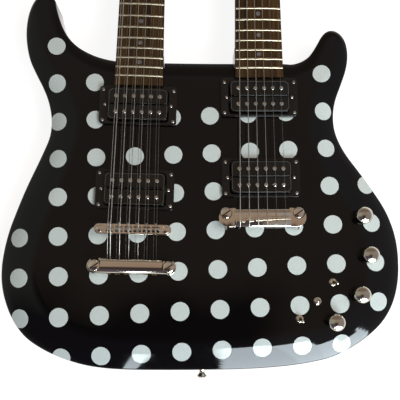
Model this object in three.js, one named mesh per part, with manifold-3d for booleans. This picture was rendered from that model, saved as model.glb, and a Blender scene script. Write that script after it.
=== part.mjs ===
// Solid-body electric guitar with two necks: twelve strings on the bass side and six on the
// treble side. Millimetres. The guitar lies on its back: +Z out of its face, +Y up the necks.
// The origin is on the body's flat back, midway between the bridges, level with the break of
// the twelve strings.

import * as THREE from 'three';
import { mergeVertices } from 'three/addons/utils/BufferGeometryUtils.js';
import Module from 'manifold-3d';

const wasm = await Module();
wasm.setup();

// Body
const bodyWidth = 461;
const bodyLength = 445;
const bodyThickness = 48;
const carveDrop = 13;
const carveBand = 45;
const backRound = 5;
const rimRound = 2.5;

// Scale and the lie of the two necks
const scaleLength = 635;
const fretCount = 22;
const neckSpacing = 146.5;
const neckStagger = 11.9;
const convergeDegrees = 0.89;
const pitchDegrees = 0.5;
const headTiltDegrees = 7;

// Fits
const seatGap = 0.3;
const cutOverrun = 5;

// Fretboard, frets and nut
const boardEnd = 167;
const boardTop = 11.3;
const boardThickness = 5.5;
const boardEndWidth = 56.6;
const nutWidth = 44;
const boardRadius = 300;
const fretHeight = 1.1;
const fretWidth = 2.4;
const nutLength = 4.5;
const nutHeight = 7.2;

// Neck
const neckDepthAtNut = 15;
const neckDepthAtHeel = 18.5;
const heelDepth = 29;
const heelLength = 46;
const pocketLength = 37;
const shoulderDepth = 2.5;
const headBlend = 12;

// Headstock, twelve strings then six
const headThickness = 13;
const headHalfWidth = 33;
const headLength12 = 186;
const headLength6 = 142;
const firstPost12 = 30;
const firstPost6 = 32;
const postPitch12 = 26;
const postPitch6 = 38;
const postOffset = 21.5;

// Tuning machines
const postRadius = 2.8;
const postHeight = 13;
const bushingRadius = 4.6;
const bushingHeight = 1.6;
const housingWidth = 12;
const housingLength = 15;
const housingDepth = 9.5;
const shaftRadius = 1.9;
const buttonWidth = 15;
const buttonReach = 13;
const buttonThickness = 6;
const buttonStandoff = 4;

// Truss rod cover
const trussCoverLength = 34;
const trussCoverWidth = 20;
const trussCoverThickness = 2;

// Pickups and their rings
const ringLength = 90;
const ringWidth = 46;
const ringHeight = 4.5;
const ringCorner = 4;
const ringBevel = 0.8;
const pickupLength = 69;
const pickupWidth = 36.6;
const pickupProud = 9.6;
const pickupDepth = 15;
const pickupFit = 0.6;
const bobbinHeight = 3;
const bobbinGap = 1.2;
const bobbinCorner = 3.5;
const poleRowSpacing = 18.9;
const poleSpan = 50.5;
const poleRadius = 2.3;
const poleProud = 0.7;
const earLength = 82;
const earWidth = 11;
const earThickness = 2;
const cavityDepth = 21;
const cavityMargin = 2;
const neckPickupAt = 143.8;
const bridgePickupAt12 = 44.5;
const bridgePickupAt6 = 48.3;

// Strings
const saddleHeight = 16;
const stringAtNut = 12.9;
const stringSpanAtBridge = 51.5;
const stringSpanAtNut = 35.5;
const courseGapAtBridge = 3.2;
const courseGapAtNut = 1.9;
const stringGauges = [1.1, 0.9, 0.75, 0.6, 0.45, 0.35];
const octaveGauges = [0.6, 0.45, 0.4, 0.35, 0.45, 0.35];

// Twelve-string bridge with its six saddles
const bridgeLength = 86.5;
const bridgeWidth = 11.6;
const bridgeFloor = 4.5;
const bridgeHeight = 7.5;
const bridgeBack = 1.8;
const postSpacing = 74;
const bridgePostRadius = 2.6;
const wheelRadius = 6;
const wheelHeight = 2;
const saddleWidth = 8.4;
const saddleLength = 6;
const saddleRear = 1.1;
const saddleSink = 4.2;
const saddleStep = 0.3;
const saddlePocketDepth = 4;
const saddlePocketRear = 3.3;
const intonationRadius = 1.6;
const intonationShaft = 1.9;
const intonationReach = 2.2;
const bushRadius = 5.2;
const bushDepth = 18;

// Tailpiece and its studs
const tailBack = 43.3;
const tailWidth = 17.6;
const tailHeight = 10.5;
const tailFloor = 4;
const studSpacing = 82.5;
const studHeadRadius = 6.8;
const studHeadHeight = 3;
const studNeckRadius = 4;
const studFlangeRadius = 6.6;
const earSeat = 5;

// Six-string wrap-around bridge
const lugRadius = 10.8;
const lugInward = 2.5;
const lugForward = 1.2;
const lugInner = 30.5;
const lugHeight = 8.6;
const setScrewRadius = 1.3;
const setScrewLength = 8;
const setScrewHeight = 2.8;
const wrapWidth = 21.6;
const wrapHeight = 11.5;
const wrapFloor = 4.3;
const wrapBack = 9.8;
const wrapStudForward = 6.3;
const ridgeHeight = 1.6;
const ridgeWidth = 3.6;
const ridgeStep = 0.8;

// Controls
const knobRadius = 9.3;
const knobHeight = 16.5;
const knobLift = 0.9;
const knobRecessRadius = 6.4;
const knobRecessDepth = 4;
const knobBoreDepth = 12;
const controlShaftRadius = 3;
const threadRadius = 3.6;
const controlNutRadius = 5.4;
const controlNutHeight = 2.2;
const casingRadius = 12;
const casingHeight = 9;
const cavityCeiling = 38;
const controlMargin = 16;
const coverLedge = 5;
const coverThickness = 2;

// Mini toggle switches
const toggleBushRadius = 3;
const toggleBushHeight = 5.5;
const toggleNutRadius = 4.6;
const toggleNutHeight = 2;
const toggleWell = 2.1;
const togglePivot = 2.6;
const toggleBall = 1.7;
const toggleStalk = 0.8;
const toggleTip = 1.5;
const toggleReach = 11.5;
const toggleBoxLength = 12.5;
const toggleBoxWidth = 7;
const toggleBoxDepth = 9;
const toggleThrowDegrees = 13;

// Strap buttons and output socket
const strapHeadRadius = 6;
const strapWaistRadius = 3.4;
const strapBaseRadius = 5;
const strapLength = 11;
const strapScrewRadius = 2;
const strapScrewLength = 20;
const sideFixingShare = 0.4;
const socketFlangeRadius = 9;
const socketFlangeThickness = 1.8;
const socketBarrelRadius = 6.2;
const socketBoreRadius = 3.6;
const socketDepth = 24;

// Places on the face: shares of the body's width from its centre line and of its length
const knobShares = [[0.411, 0.038], [0.425, -0.0625], [0.401, -0.1625], [0.337, -0.2317]];
const toggleShares = [[0.335, -0.1328], [0.296, -0.1804], [0.2516, -0.2252]];
const toggleThrowAzimuths = [-20, 168, -58];
const bottomStrapShare = [0.015, -0.358];

// Outline, anticlockwise from the bass horn's tip: shares of the body's width and length, and of
// the carved band's width and drop at that place
const outlineShares = [
  [-0.403, 0.64, 0.15], [-0.426, 0.626, 0.17], [-0.443, 0.594, 0.24], [-0.452, 0.545, 0.38],
  [-0.4495, 0.495, 0.48], [-0.436, 0.442, 0.62], [-0.408, 0.386, 0.75], [-0.389, 0.338, 0.8],
  [-0.38, 0.289, 0.85], [-0.383, 0.246, 0.88], [-0.4, 0.197, 0.92], [-0.4345, 0.114, 1],
  [-0.459, 0.045, 1], [-0.4785, -0.021, 1], [-0.4895, -0.098, 1], [-0.4845, -0.16, 1],
  [-0.461, -0.226, 1], [-0.4215, -0.28, 1], [-0.352, -0.322, 1], [-0.263, -0.35, 1],
  [-0.169, -0.358, 1], [-0.05, -0.3585, 1], [0.072, -0.3565, 1], [0.167, -0.352, 1],
  [0.262, -0.341, 1], [0.342, -0.3215, 1], [0.4215, -0.276, 1], [0.475, -0.222, 1],
  [0.503, -0.158, 1], [0.512, -0.084, 1], [0.5045, -0.006, 1], [0.479, 0.064, 1],
  [0.4245, 0.149, 0.95], [0.3815, 0.21, 0.88], [0.358, 0.26, 0.82], [0.3515, 0.31, 0.76],
  [0.36, 0.363, 0.68], [0.3815, 0.424, 0.5], [0.39, 0.475, 0.36], [0.383, 0.518, 0.27],
  [0.3625, 0.543, 0.22], [0.3385, 0.5455, 0.22], [0.32, 0.5275, 0.24], [0.303, 0.4955, 0.3],
  [0.281, 0.4675, 0.38], [0.246, 0.4525, 0.46], [0.205, 0.4545, 0.5], [0.087, 0.4515, 0.5],
  [-0.0, 0.4505, 0.5], [-0.09, 0.4505, 0.5], [-0.215, 0.4535, 0.48], [-0.28, 0.47, 0.4],
  [-0.33, 0.5025, 0.33], [-0.3575, 0.545, 0.27], [-0.373, 0.591, 0.21], [-0.382, 0.624, 0.16],
];
const outlineSteps = 92;
const carveRoomShare = 0.85;

const degrees = Math.PI / 180;

// Colours
function finish(color, roughness, metalness) {
  return new THREE.MeshStandardMaterial({ color, roughness, metalness });
}

const lacquer = finish(0x0e0d0d, 0.08, 0);
const neckLacquer = finish(0x141110, 0.15, 0);
const rosewood = finish(0x3c2a1c, 0.55, 0);
const blackPlastic = finish(0x101010, 0.3, 0);
const chrome = finish(0xc9c6c2, 0.08, 1);
const steel = finish(0xb8b2a4, 0.3, 1);

// Helpers: solids in and out of the boolean library
function joined(rings) {
  const count = rings[0].length;
  const positions = rings.flat().flatMap((point) => [point.x, point.y, point.z]);
  const index = [];
  for (let level = 0; level + 1 < rings.length; level += 1) {
    for (let i = 0; i < count; i += 1) {
      const j = (i + 1) % count;
      const low = level * count;
      const high = low + count;
      index.push(low + i, low + j, high + j, low + i, high + j, high + i);
    }
  }
  const top = (rings.length - 1) * count;
  for (const [a, b, c] of THREE.ShapeUtils.triangulateShape(rings[0], [])) index.push(a, c, b);
  for (const [a, b, c] of THREE.ShapeUtils.triangulateShape(rings.at(-1), [])) {
    index.push(top + a, top + b, top + c);
  }
  const geometry = new THREE.BufferGeometry();
  geometry.setAttribute('position', new THREE.Float32BufferAttribute(positions, 3));
  geometry.setIndex(index);
  return geometry;
}

function solid(geometry) {
  const bare = geometry.clone();
  bare.deleteAttribute('normal');
  bare.deleteAttribute('uv');
  const merged = mergeVertices(bare);
  const points = merged.getAttribute('position').array;
  const corners = merged.index.array;
  const kept = [];
  let volume = 0;
  const [a, b, c] = [new THREE.Vector3(), new THREE.Vector3(), new THREE.Vector3()];
  for (let i = 0; i < corners.length; i += 3) {
    const [p, q, r] = corners.slice(i, i + 3);
    if (p === q || q === r || r === p) continue;
    kept.push(p, q, r);
    volume += a.fromArray(points, 3 * p).dot(b.fromArray(points, 3 * q).cross(c.fromArray(points, 3 * r)));
  }
  const triVerts = Uint32Array.from(volume < 0 ? kept.reverse() : kept);
  return new wasm.Manifold(new wasm.Mesh({ numProp: 3, vertProperties: points, triVerts }));
}

function union(geometries) {
  return geometries.map(solid).reduce((whole, piece) => whole.add(piece));
}

function without(whole, geometries) {
  return geometries.map(solid).reduce((left, tool) => left.subtract(tool), whole);
}

function geometryOf(manifold) {
  const { vertProperties, triVerts } = manifold.getMesh();
  const geometry = new THREE.BufferGeometry();
  geometry.setAttribute('position', new THREE.BufferAttribute(vertProperties, 3));
  geometry.setIndex(new THREE.BufferAttribute(triVerts, 1));
  return geometry;
}

// Helpers: plain forms, with their lowest face at z
function block(width, depth, height, x, y, z) {
  return new THREE.BoxGeometry(width, depth, height).translate(x, y, z + height / 2);
}

function rod(radius, height, sides, x, y, z) {
  const cylinder = new THREE.CylinderGeometry(radius, radius, height, sides);
  return cylinder.rotateX(90 * degrees).translate(x, y, z + height / 2);
}

function turned(profile, sides) {
  const points = profile.map(([radius, height]) => new THREE.Vector2(radius, height));
  return new THREE.LatheGeometry(points, sides).rotateX(90 * degrees);
}

function slab(shape, height, z, curveSegments = 3) {
  const flat = new THREE.ExtrudeGeometry(shape, { depth: height, bevelEnabled: false, curveSegments });
  return flat.translate(0, 0, z);
}

// A bar along X whose section is drawn as across and up
function barAlongX(section, length) {
  const bar = new THREE.ExtrudeGeometry(section, { depth: length, bevelEnabled: false, curveSegments: 4 });
  const axes = new THREE.Matrix4().makeBasis(
    new THREE.Vector3(0, 1, 0), new THREE.Vector3(0, 0, 1), new THREE.Vector3(1, 0, 0));
  return bar.applyMatrix4(axes).translate(-length / 2, 0, 0);
}

function roundedRectangle(length, width, corner) {
  const shape = new THREE.Shape();
  const x = length / 2;
  const y = width / 2;
  shape.moveTo(-x + corner, -y);
  shape.lineTo(x - corner, -y);
  shape.quadraticCurveTo(x, -y, x, -y + corner);
  shape.lineTo(x, y - corner);
  shape.quadraticCurveTo(x, y, x - corner, y);
  shape.lineTo(-x + corner, y);
  shape.quadraticCurveTo(-x, y, -x, y - corner);
  shape.lineTo(-x, -y + corner);
  shape.quadraticCurveTo(-x, -y, -x + corner, -y);
  return shape;
}

function spread(count, span) {
  return Array.from({ length: count }, (_, i) => (i / (count - 1) - 0.5) * span);
}

function mesh(name, geometry, material) {
  const piece = new THREE.Mesh(geometry, material);
  piece.name = name;
  return piece;
}

// Radius of the largest circle inside the outline that touches it at one point
function roomAt(point, inward, points) {
  return points.reduce((room, other) => {
    const depth = (other.x - point.x) * inward.x + (other.y - point.y) * inward.y;
    const reach = (other.x - point.x) ** 2 + (other.y - point.y) ** 2;
    return depth > 0 ? Math.min(room, reach / (2 * depth)) : room;
  }, bodyWidth);
}

// Outline: points, closer where it bends, with their inward direction and share of the carve,
// which is limited by the room between the edges of a horn
function bodyOutline() {
  const control = outlineShares.map(([x, y, carve]) => (
    new THREE.Vector3(x * bodyWidth, y * bodyLength, carve * carveBand)));
  const curve = new THREE.CatmullRomCurve3(control, true, 'centripetal');
  const points = curve.getPoints(outlineSteps).slice(0, outlineSteps);
  return points.map((point, i) => {
    const before = points.at(i - 1);
    const after = points[(i + 1) % outlineSteps];
    const along = new THREE.Vector2(after.x - before.x, after.y - before.y).normalize();
    const inward = new THREE.Vector2(-along.y, along.x);
    const band = Math.min(point.z, carveRoomShare * roomAt(point, inward, points));
    return { x: point.x, y: point.y, share: band / carveBand, inX: inward.x, inY: inward.y };
  });
}

const outline = bodyOutline();

function bodyRing(insetAt, heightAt) {
  return outline.map((edge) => {
    const inset = insetAt(edge.share);
    return new THREE.Vector3(edge.x + inset * edge.inX, edge.y + inset * edge.inY, heightAt(edge.share));
  });
}

function nearestEdge([xShare, yShare]) {
  const distance = (edge) => Math.hypot(edge.x - xShare * bodyWidth, edge.y - yShare * bodyLength);
  return outline.reduce((best, edge) => (distance(edge) < distance(best) ? edge : best));
}

// The body blank: a flat back with a rounded edge, an upright side and a carved face
function bodyBlank() {
  const rimHeight = (share) => bodyThickness - carveDrop * share;
  const rings = [];
  for (const angle of [0, 45 * degrees, 90 * degrees]) {
    rings.push(bodyRing(() => backRound * (1 - Math.sin(angle)), () => backRound * (1 - Math.cos(angle))));
  }
  for (const angle of [0, 45 * degrees]) {
    const sink = rimRound * (1 - Math.sin(angle));
    rings.push(bodyRing(() => rimRound * (1 - Math.cos(angle)), (share) => rimHeight(share) - sink));
  }
  for (const t of [0, 0.35, 1]) {
    const rise = 1 - (1 - t) ** 2;
    rings.push(bodyRing(
      (share) => rimRound + (carveBand * share - rimRound) * t,
      (share) => rimHeight(share) + carveDrop * share * rise));
  }
  return joined(rings);
}

// Necks: each station carries what lies over one set of strings
const part = new THREE.Group();

function makeStation(side) {
  const station = new THREE.Group();
  station.position.set(side * neckSpacing / 2, side > 0 ? neckStagger : 0, bodyThickness);
  station.rotation.z = side * convergeDegrees * degrees;
  const neckGroup = new THREE.Group();
  neckGroup.rotation.x = -pitchDegrees * degrees;
  const headGroup = new THREE.Group();
  headGroup.position.set(0, scaleLength + nutLength, boardTop - boardThickness - seatGap);
  headGroup.rotation.x = -headTiltDegrees * degrees;
  neckGroup.add(headGroup);
  station.add(neckGroup);
  part.add(station);
  station.updateMatrixWorld(true);
  neckGroup.updateMatrix();
  headGroup.updateMatrix();
  return { station, neckGroup, headGroup };
}

function boardHalfWidth(y) {
  const share = (y - boardEnd) / (scaleLength - boardEnd);
  return (boardEndWidth + (nutWidth - boardEndWidth) * share) / 2;
}

// Lofts in a neck's frame are drawn as across and up, and stood along the neck
const alongNeck = new THREE.Matrix4().makeBasis(
  new THREE.Vector3(-1, 0, 0), new THREE.Vector3(0, 0, 1), new THREE.Vector3(0, 1, 0));

function sectionRing(points, y) {
  return points.map(([across, up]) => new THREE.Vector3(across, up, y));
}

// Fretboard with its radius and its frets in one piece
function fretboard() {
  const ringAt = (y, lift) => {
    const half = boardHalfWidth(y);
    const crown = [1, 0, -1].map((share) => (
      [share * half, boardTop + lift - (share * half) ** 2 / (2 * boardRadius)]));
    return sectionRing([[-half, boardTop - boardThickness], [half, boardTop - boardThickness], ...crown], y);
  };
  const rings = [ringAt(boardEnd, 0)];
  for (let fret = fretCount; fret > 0; fret -= 1) {
    const y = scaleLength * 2 ** (-fret / 12);
    rings.push(ringAt(y - fretWidth / 2, 0), ringAt(y, fretHeight), ringAt(y + fretWidth / 2, 0));
  }
  rings.push(ringAt(scaleLength - seatGap, 0));
  return geometryOf(solid(joined(rings).applyMatrix4(alongNeck)));
}

// Neck shaft: a rounded back that deepens to the heel, and a square block in the body's pocket
function neckShaft() {
  const top = boardTop - boardThickness - seatGap;
  const heelFace = boardEnd + pocketLength;
  const ringAt = (y, depth, sink = 0) => {
    const half = boardHalfWidth(y);
    const round = spread(9, Math.PI).map((angle) => [
      half * Math.sin(angle), top - shoulderDepth - sink - (depth - shoulderDepth) * Math.cos(angle)]);
    return sectionRing([[half, top - sink], [-half, top - sink], ...round], y);
  };
  const headSink = headBlend * Math.tan(headTiltDegrees * degrees) + seatGap;
  const rings = [
    ringAt(heelFace - seatGap, heelDepth),
    ringAt(heelFace + heelLength * 0.3, heelDepth - (heelDepth - neckDepthAtHeel) * 0.25),
    ringAt(heelFace + heelLength * 0.7, heelDepth - (heelDepth - neckDepthAtHeel) * 0.8),
    ringAt(heelFace + heelLength, neckDepthAtHeel),
    ringAt(scaleLength - nutLength, neckDepthAtNut),
    ringAt(scaleLength + nutLength, neckDepthAtNut),
    ringAt(scaleLength + nutLength + headBlend, headThickness - seatGap * 2, headSink),
  ];
  return joined(rings).applyMatrix4(alongNeck);
}

function pocketBlock(clearance, overrun) {
  const top = boardTop - boardThickness - seatGap + overrun;
  const bottom = boardTop - boardThickness - heelDepth - clearance;
  const far = boardEnd + pocketLength + overrun;
  const near = boardEnd - clearance;
  return block(boardEndWidth + 2 * clearance, far - near, top - bottom, 0, (near + far) / 2, bottom);
}

// Headstock outline: shares of its half width and of its length
const headShares = [
  [0.66, 0], [0.75, 0.05], [0.93, 0.11], [1, 0.2], [1, 0.86], [0.9, 0.95], [0.55, 0.99], [0, 1],
];

function headstock(length) {
  const right = headShares.map(([x, y]) => new THREE.Vector2(x * headHalfWidth, y * length));
  const left = right.slice(0, -1).reverse().map((point) => new THREE.Vector2(-point.x, point.y));
  return slab(new THREE.Shape([...right, ...left]), headThickness, -headThickness);
}

function postPlaces(perSide, first, pitch) {
  const places = [];
  for (const side of [-1, 1]) {
    for (let i = 0; i < perSide; i += 1) places.push({ side, x: side * postOffset, y: first + i * pitch });
  }
  return places;
}

// Fixed half of each tuning machine: housing under the head, bushing and post over it
function tunerFixedParts({ side, x, y }) {
  const housingOut = headHalfWidth - side * x;
  return [
    rod(postRadius, postHeight, 6, x, y, bushingHeight / 2),
    rod(bushingRadius, 2 * bushingHeight, 6, x, y, -bushingHeight),
    block(housingWidth + housingOut / 2, housingLength, housingDepth + bushingHeight,
      x + side * housingOut / 4, y, -headThickness - housingDepth),
  ];
}

// Turning half: the button on its shaft, drawn along X with the housing's face at x = 0
function tunerButton() {
  const start = buttonStandoff;
  const half = buttonWidth / 2;
  const shape = new THREE.Shape();
  shape.moveTo(start, -half * 0.45);
  shape.quadraticCurveTo(start + buttonReach * 0.35, -half, start + buttonReach * 0.6, -half);
  shape.quadraticCurveTo(start + buttonReach, -half, start + buttonReach, 0);
  shape.quadraticCurveTo(start + buttonReach, half, start + buttonReach * 0.6, half);
  shape.quadraticCurveTo(start + buttonReach * 0.35, half, start, half * 0.45);
  const grip = slab(shape, buttonThickness, -buttonThickness / 2, 2);
  const shaft = rod(shaftRadius, start + buttonReach / 2, 6, 0, 0, 0).rotateY(90 * degrees);
  return geometryOf(union([grip, shaft]));
}

function trussCover() {
  const shape = new THREE.Shape();
  const half = trussCoverWidth / 2;
  shape.moveTo(-half, 0);
  shape.lineTo(half, 0);
  shape.quadraticCurveTo(half, trussCoverLength * 0.6, 0, trussCoverLength);
  shape.quadraticCurveTo(-half, trussCoverLength * 0.6, -half, 0);
  return geometryOf(solid(slab(shape, trussCoverThickness, seatGap, 5)));
}

// Strings and nut in one piece: each string runs over its saddle and through the nut
function stringTube(points, radius) {
  const sides = 4;
  const rings = points.map((point) => Array.from({ length: sides }, (_, i) => {
    const angle = 2 * Math.PI * i / sides;
    const [across, up] = [radius * Math.cos(angle), radius * Math.sin(angle)];
    return new THREE.Vector3(point.x + across, point.z + up, -point.y);
  }));
  return joined(rings).rotateX(90 * degrees);
}

function nut(neckMatrix) {
  const bottom = boardTop - boardThickness;
  const bar = block(nutWidth, nutLength - seatGap, nutHeight, 0, scaleLength + nutLength / 2, bottom);
  return bar.applyMatrix4(neckMatrix);
}

function stringSet({ neckGroup, headGroup }, strings) {
  const headMatrix = new THREE.Matrix4().multiplyMatrices(neckGroup.matrix, headGroup.matrix);
  const tubes = strings.map(({ anchor, saddle, nutX, post, gauge }) => {
    const [atNut, behindNut] = [0, nutLength].map((past) => (
      new THREE.Vector3(nutX, scaleLength + past, stringAtNut).applyMatrix4(neckGroup.matrix)));
    const atPost = new THREE.Vector3(post.x - post.side * (postRadius + gauge / 2 + seatGap), post.y,
      bushingHeight + postHeight / 3).applyMatrix4(headMatrix);
    return stringTube([...anchor, saddle, atNut, behindNut, atPost], gauge / 2);
  });
  return geometryOf(union([nut(neckGroup.matrix), ...tubes]));
}

// Pickup ring: a bevelled frame round the pickup
function pickupRing() {
  const outer = roundedRectangle(ringLength, ringWidth, ringCorner);
  const inset = roundedRectangle(ringLength - 2 * ringBevel, ringWidth - 2 * ringBevel, ringCorner);
  const opening = roundedRectangle(pickupLength + 2 * pickupFit, pickupWidth + 2 * pickupFit, bobbinCorner);
  const plate = union([
    slab(outer, ringHeight - ringBevel - seatGap, seatGap, 2),
    slab(inset, ringHeight - 2 * seatGap, seatGap, 2),
  ]);
  return geometryOf(without(plate, [slab(opening, ringHeight + 2 * cutOverrun, -cutOverrun, 2)]));
}

// Humbucking pickup: case, two bobbins with six poles each, and the ears for its height screws
function pickup() {
  const bobbinWidth = (pickupWidth - bobbinGap) / 2;
  const pieces = [
    block(pickupLength - 2 * bobbinGap, pickupWidth - 2 * bobbinGap,
      pickupDepth + pickupProud - bobbinHeight / 2, 0, 0, -pickupDepth),
    block(earLength, earWidth, earThickness, 0, 0, -earThickness - seatGap),
  ];
  for (const side of [-1, 1]) {
    const bobbin = slab(roundedRectangle(pickupLength, bobbinWidth, bobbinCorner), bobbinHeight,
      pickupProud - bobbinHeight, 2);
    pieces.push(bobbin.translate(0, side * (bobbinWidth + bobbinGap) / 2, 0));
    for (const x of spread(6, poleSpan)) {
      pieces.push(rod(poleRadius, bobbinHeight / 2 + poleProud, 4, x, side * poleRowSpacing / 2,
        pickupProud - bobbinHeight / 2));
    }
  }
  return geometryOf(union(pieces));
}

function pickupCavity(y) {
  const low = -cavityDepth;
  const height = cavityDepth + cutOverrun;
  return [
    block(pickupLength + 2 * cavityMargin, pickupWidth + 2 * cavityMargin, height, 0, y, low),
    block(earLength + 2 * cavityMargin, earWidth + 2 * cavityMargin, height, 0, y, low),
  ];
}

// Twelve-string bridge: bar on two posts, with six saddles and their screws
function saddleX(course) {
  return spread(6, stringSpanAtBridge)[course];
}

function saddleY(course) {
  return -saddleStep * (5 - course) + saddleStep * 2.5 - bridgeBack;
}

function saddleBlock(course) {
  const section = new THREE.Shape();
  const low = bridgeFloor + bridgeHeight - saddleSink;
  const peak = saddleHeight - stringGauges[0] / 2 - seatGap;
  section.moveTo(-saddleRear, low);
  section.lineTo(saddleLength / 2, low);
  section.lineTo(saddleLength / 2, bridgeFloor + bridgeHeight);
  section.lineTo(saddleLength / 10, peak);
  section.lineTo(-saddleLength / 10, peak);
  section.lineTo(-saddleRear, peak - saddleRear / 2);
  return barAlongX(section, saddleWidth).translate(saddleX(course), saddleY(course), 0);
}

function tuneBridge() {
  const bar = slab(roundedRectangle(bridgeLength, bridgeWidth, bridgeWidth / 2), bridgeHeight, bridgeFloor);
  const top = bridgeFloor + bridgeHeight;
  const pockets = Array.from({ length: 6 }, (_, course) => {
    const [rear, front] = [-bridgeBack - saddlePocketRear, saddleY(course)];
    return block(saddleWidth - 2 * seatGap, front - rear, saddlePocketDepth + cutOverrun,
      saddleX(course), (front + rear) / 2, top - saddlePocketDepth);
  });
  const open = without(solid(bar.translate(0, -bridgeBack, 0)), pockets);
  const pieces = [];
  for (const x of spread(2, postSpacing)) {
    const waist = bridgeFloor + bridgeHeight / 2;
    pieces.push(rod(bridgePostRadius, bushDepth + waist, 6, x, -bridgeBack, -bushDepth));
    pieces.push(rod(wheelRadius, wheelHeight, 10, x, -bridgeBack, bridgeFloor - wheelHeight * 1.5));
    pieces.push(rod(bridgePostRadius * 1.4, bridgeHeight / 2 + wheelHeight / 4, 8, x, -bridgeBack, waist));
  }
  for (let course = 0; course < 6; course += 1) {
    pieces.push(saddleBlock(course));
    const head = rod(intonationRadius, intonationReach + bridgeWidth / 4, 6, 0, 0, 0);
    head.rotateX(-90 * degrees);
    pieces.push(head.translate(
      saddleX(course), bridgeWidth / 4 - bridgeBack, bridgeFloor + bridgeHeight * 0.6));
    pieces.push(block(intonationShaft, saddlePocketRear + 2 * saddleRear, intonationShaft,
      saddleX(course), -bridgeBack - saddlePocketRear / 2, top - saddlePocketDepth));
  }
  return geometryOf(open.add(union(pieces)));
}

// Ends of the tailpiece and of the wrap-around bridge: thin ears with a slot for the stud
function earSlot(x, y, reach) {
  return [
    rod(studNeckRadius + seatGap, 3 * tailHeight, 10, x, y, -tailHeight),
    block(2 * (studNeckRadius + seatGap), reach, 3 * tailHeight, x, y + reach / 2, -tailHeight),
  ];
}

function headPocket(x, y, reach) {
  const low = tailFloor + earSeat;
  const radius = studHeadRadius + seatGap;
  return [
    rod(radius, tailHeight, 12, x, y, low),
    block(2 * radius, reach, tailHeight, x, y + reach / 2, low),
  ];
}

function tailpiece() {
  const section = new THREE.Shape();
  const half = tailWidth / 2;
  const top = tailFloor + tailHeight;
  section.moveTo(-half * 0.7, tailFloor);
  section.lineTo(half * 0.7, tailFloor);
  section.quadraticCurveTo(half, tailFloor, half, tailFloor + tailHeight * 0.4);
  section.quadraticCurveTo(half, top, half * 0.25, top);
  section.lineTo(-half * 0.25, top);
  section.quadraticCurveTo(-half, top, -half, tailFloor + tailHeight * 0.4);
  section.quadraticCurveTo(-half, tailFloor, -half * 0.7, tailFloor);
  const middle = barAlongX(section, studSpacing);
  const ends = spread(2, studSpacing).map((x) => rod(half, earSeat, 14, x, 0, tailFloor));
  const cuts = spread(2, studSpacing).flatMap((x) => [
    ...earSlot(x, 0, tailWidth), ...headPocket(x, 0, tailWidth)]);
  return geometryOf(without(union([middle, ...ends]), cuts).translate([0, -tailBack, 0]));
}

// Stud: threaded bush in the body, flange under the ear and a slotted head over it
function stud() {
  const low = tailFloor - seatGap;
  const high = tailFloor + earSeat + seatGap;
  return geometryOf(solid(turned([
    [0, -bushDepth], [bushRadius, -bushDepth], [bushRadius, seatGap], [studNeckRadius, seatGap],
    [studNeckRadius, low - studHeadHeight / 2], [studFlangeRadius, low - studHeadHeight / 2],
    [studFlangeRadius, low], [studNeckRadius, low], [studNeckRadius, high], [studHeadRadius, high],
    [studHeadRadius, high + studHeadHeight * 0.6], [studHeadRadius * 0.8, high + studHeadHeight],
    [0, high + studHeadHeight],
  ], 9)));
}

// Six-string bridge: one cast bar with a stepped ridge, which the strings wrap round
function ridgeY(course) {
  return (course - 2.5) * ridgeStep * (course < 3 ? 1 : 0.6) - ridgeStep;
}

function wrapBridge() {
  const section = new THREE.Shape();
  const rear = -wrapBack;
  const front = wrapWidth - wrapBack;
  const top = wrapFloor + wrapHeight - ridgeHeight;
  section.moveTo(rear + wrapHeight * 0.3, wrapFloor);
  section.lineTo(front - wrapHeight * 0.3, wrapFloor);
  section.quadraticCurveTo(front, wrapFloor, front, wrapFloor + wrapHeight * 0.35);
  section.quadraticCurveTo(front, top - wrapHeight * 0.1, ridgeWidth, top);
  section.lineTo(-ridgeWidth, top);
  section.quadraticCurveTo(rear, top, rear, wrapFloor + wrapHeight * 0.4);
  section.quadraticCurveTo(rear, wrapFloor, rear + wrapHeight * 0.3, wrapFloor);
  const pieces = [barAlongX(section, 2 * lugInner + wrapFloor)];
  for (const x of spread(2, studSpacing)) {
    const middle = x - Math.sign(x) * lugInward;
    pieces.push(rod(lugRadius, lugHeight, 16, middle, lugForward, tailFloor));
    pieces.push(block(Math.abs(middle) - lugInner, 2 * lugRadius, lugHeight,
      (middle + Math.sign(x) * lugInner) / 2, lugForward, tailFloor));
    const screw = rod(setScrewRadius, setScrewLength, 6, 0, 0, 0).rotateX(90 * degrees);
    pieces.push(screw.translate(x, lugForward - lugRadius / 2, tailFloor + setScrewHeight));
  }
  const pitch = stringSpanAtBridge / 5;
  for (let course = 0; course < 6; course += 1) {
    const foot = top - ridgeHeight;
    pieces.push(block(pitch, ridgeWidth, ridgeHeight * 2, saddleX(course), ridgeY(course), foot));
  }
  const cuts = spread(2, studSpacing).flatMap((x) => [
    ...earSlot(x, wrapStudForward, wrapWidth), ...headPocket(x, wrapStudForward, wrapWidth)]);
  return geometryOf(without(union(pieces), cuts));
}

// Controls
function knob() {
  const bore = controlShaftRadius + seatGap;
  return geometryOf(solid(turned([
    [0, knobBoreDepth], [bore, knobBoreDepth], [bore, knobRecessDepth], [knobRecessRadius, knobRecessDepth],
    [knobRecessRadius, 0], [knobRadius * 0.94, 0], [knobRadius, knobHeight * 0.08],
    [knobRadius, knobHeight * 0.76], [knobRadius * 0.7, knobHeight * 0.89],
    [knobRadius * 0.37, knobHeight * 0.97], [0, knobHeight],
  ], 10)));
}

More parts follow.
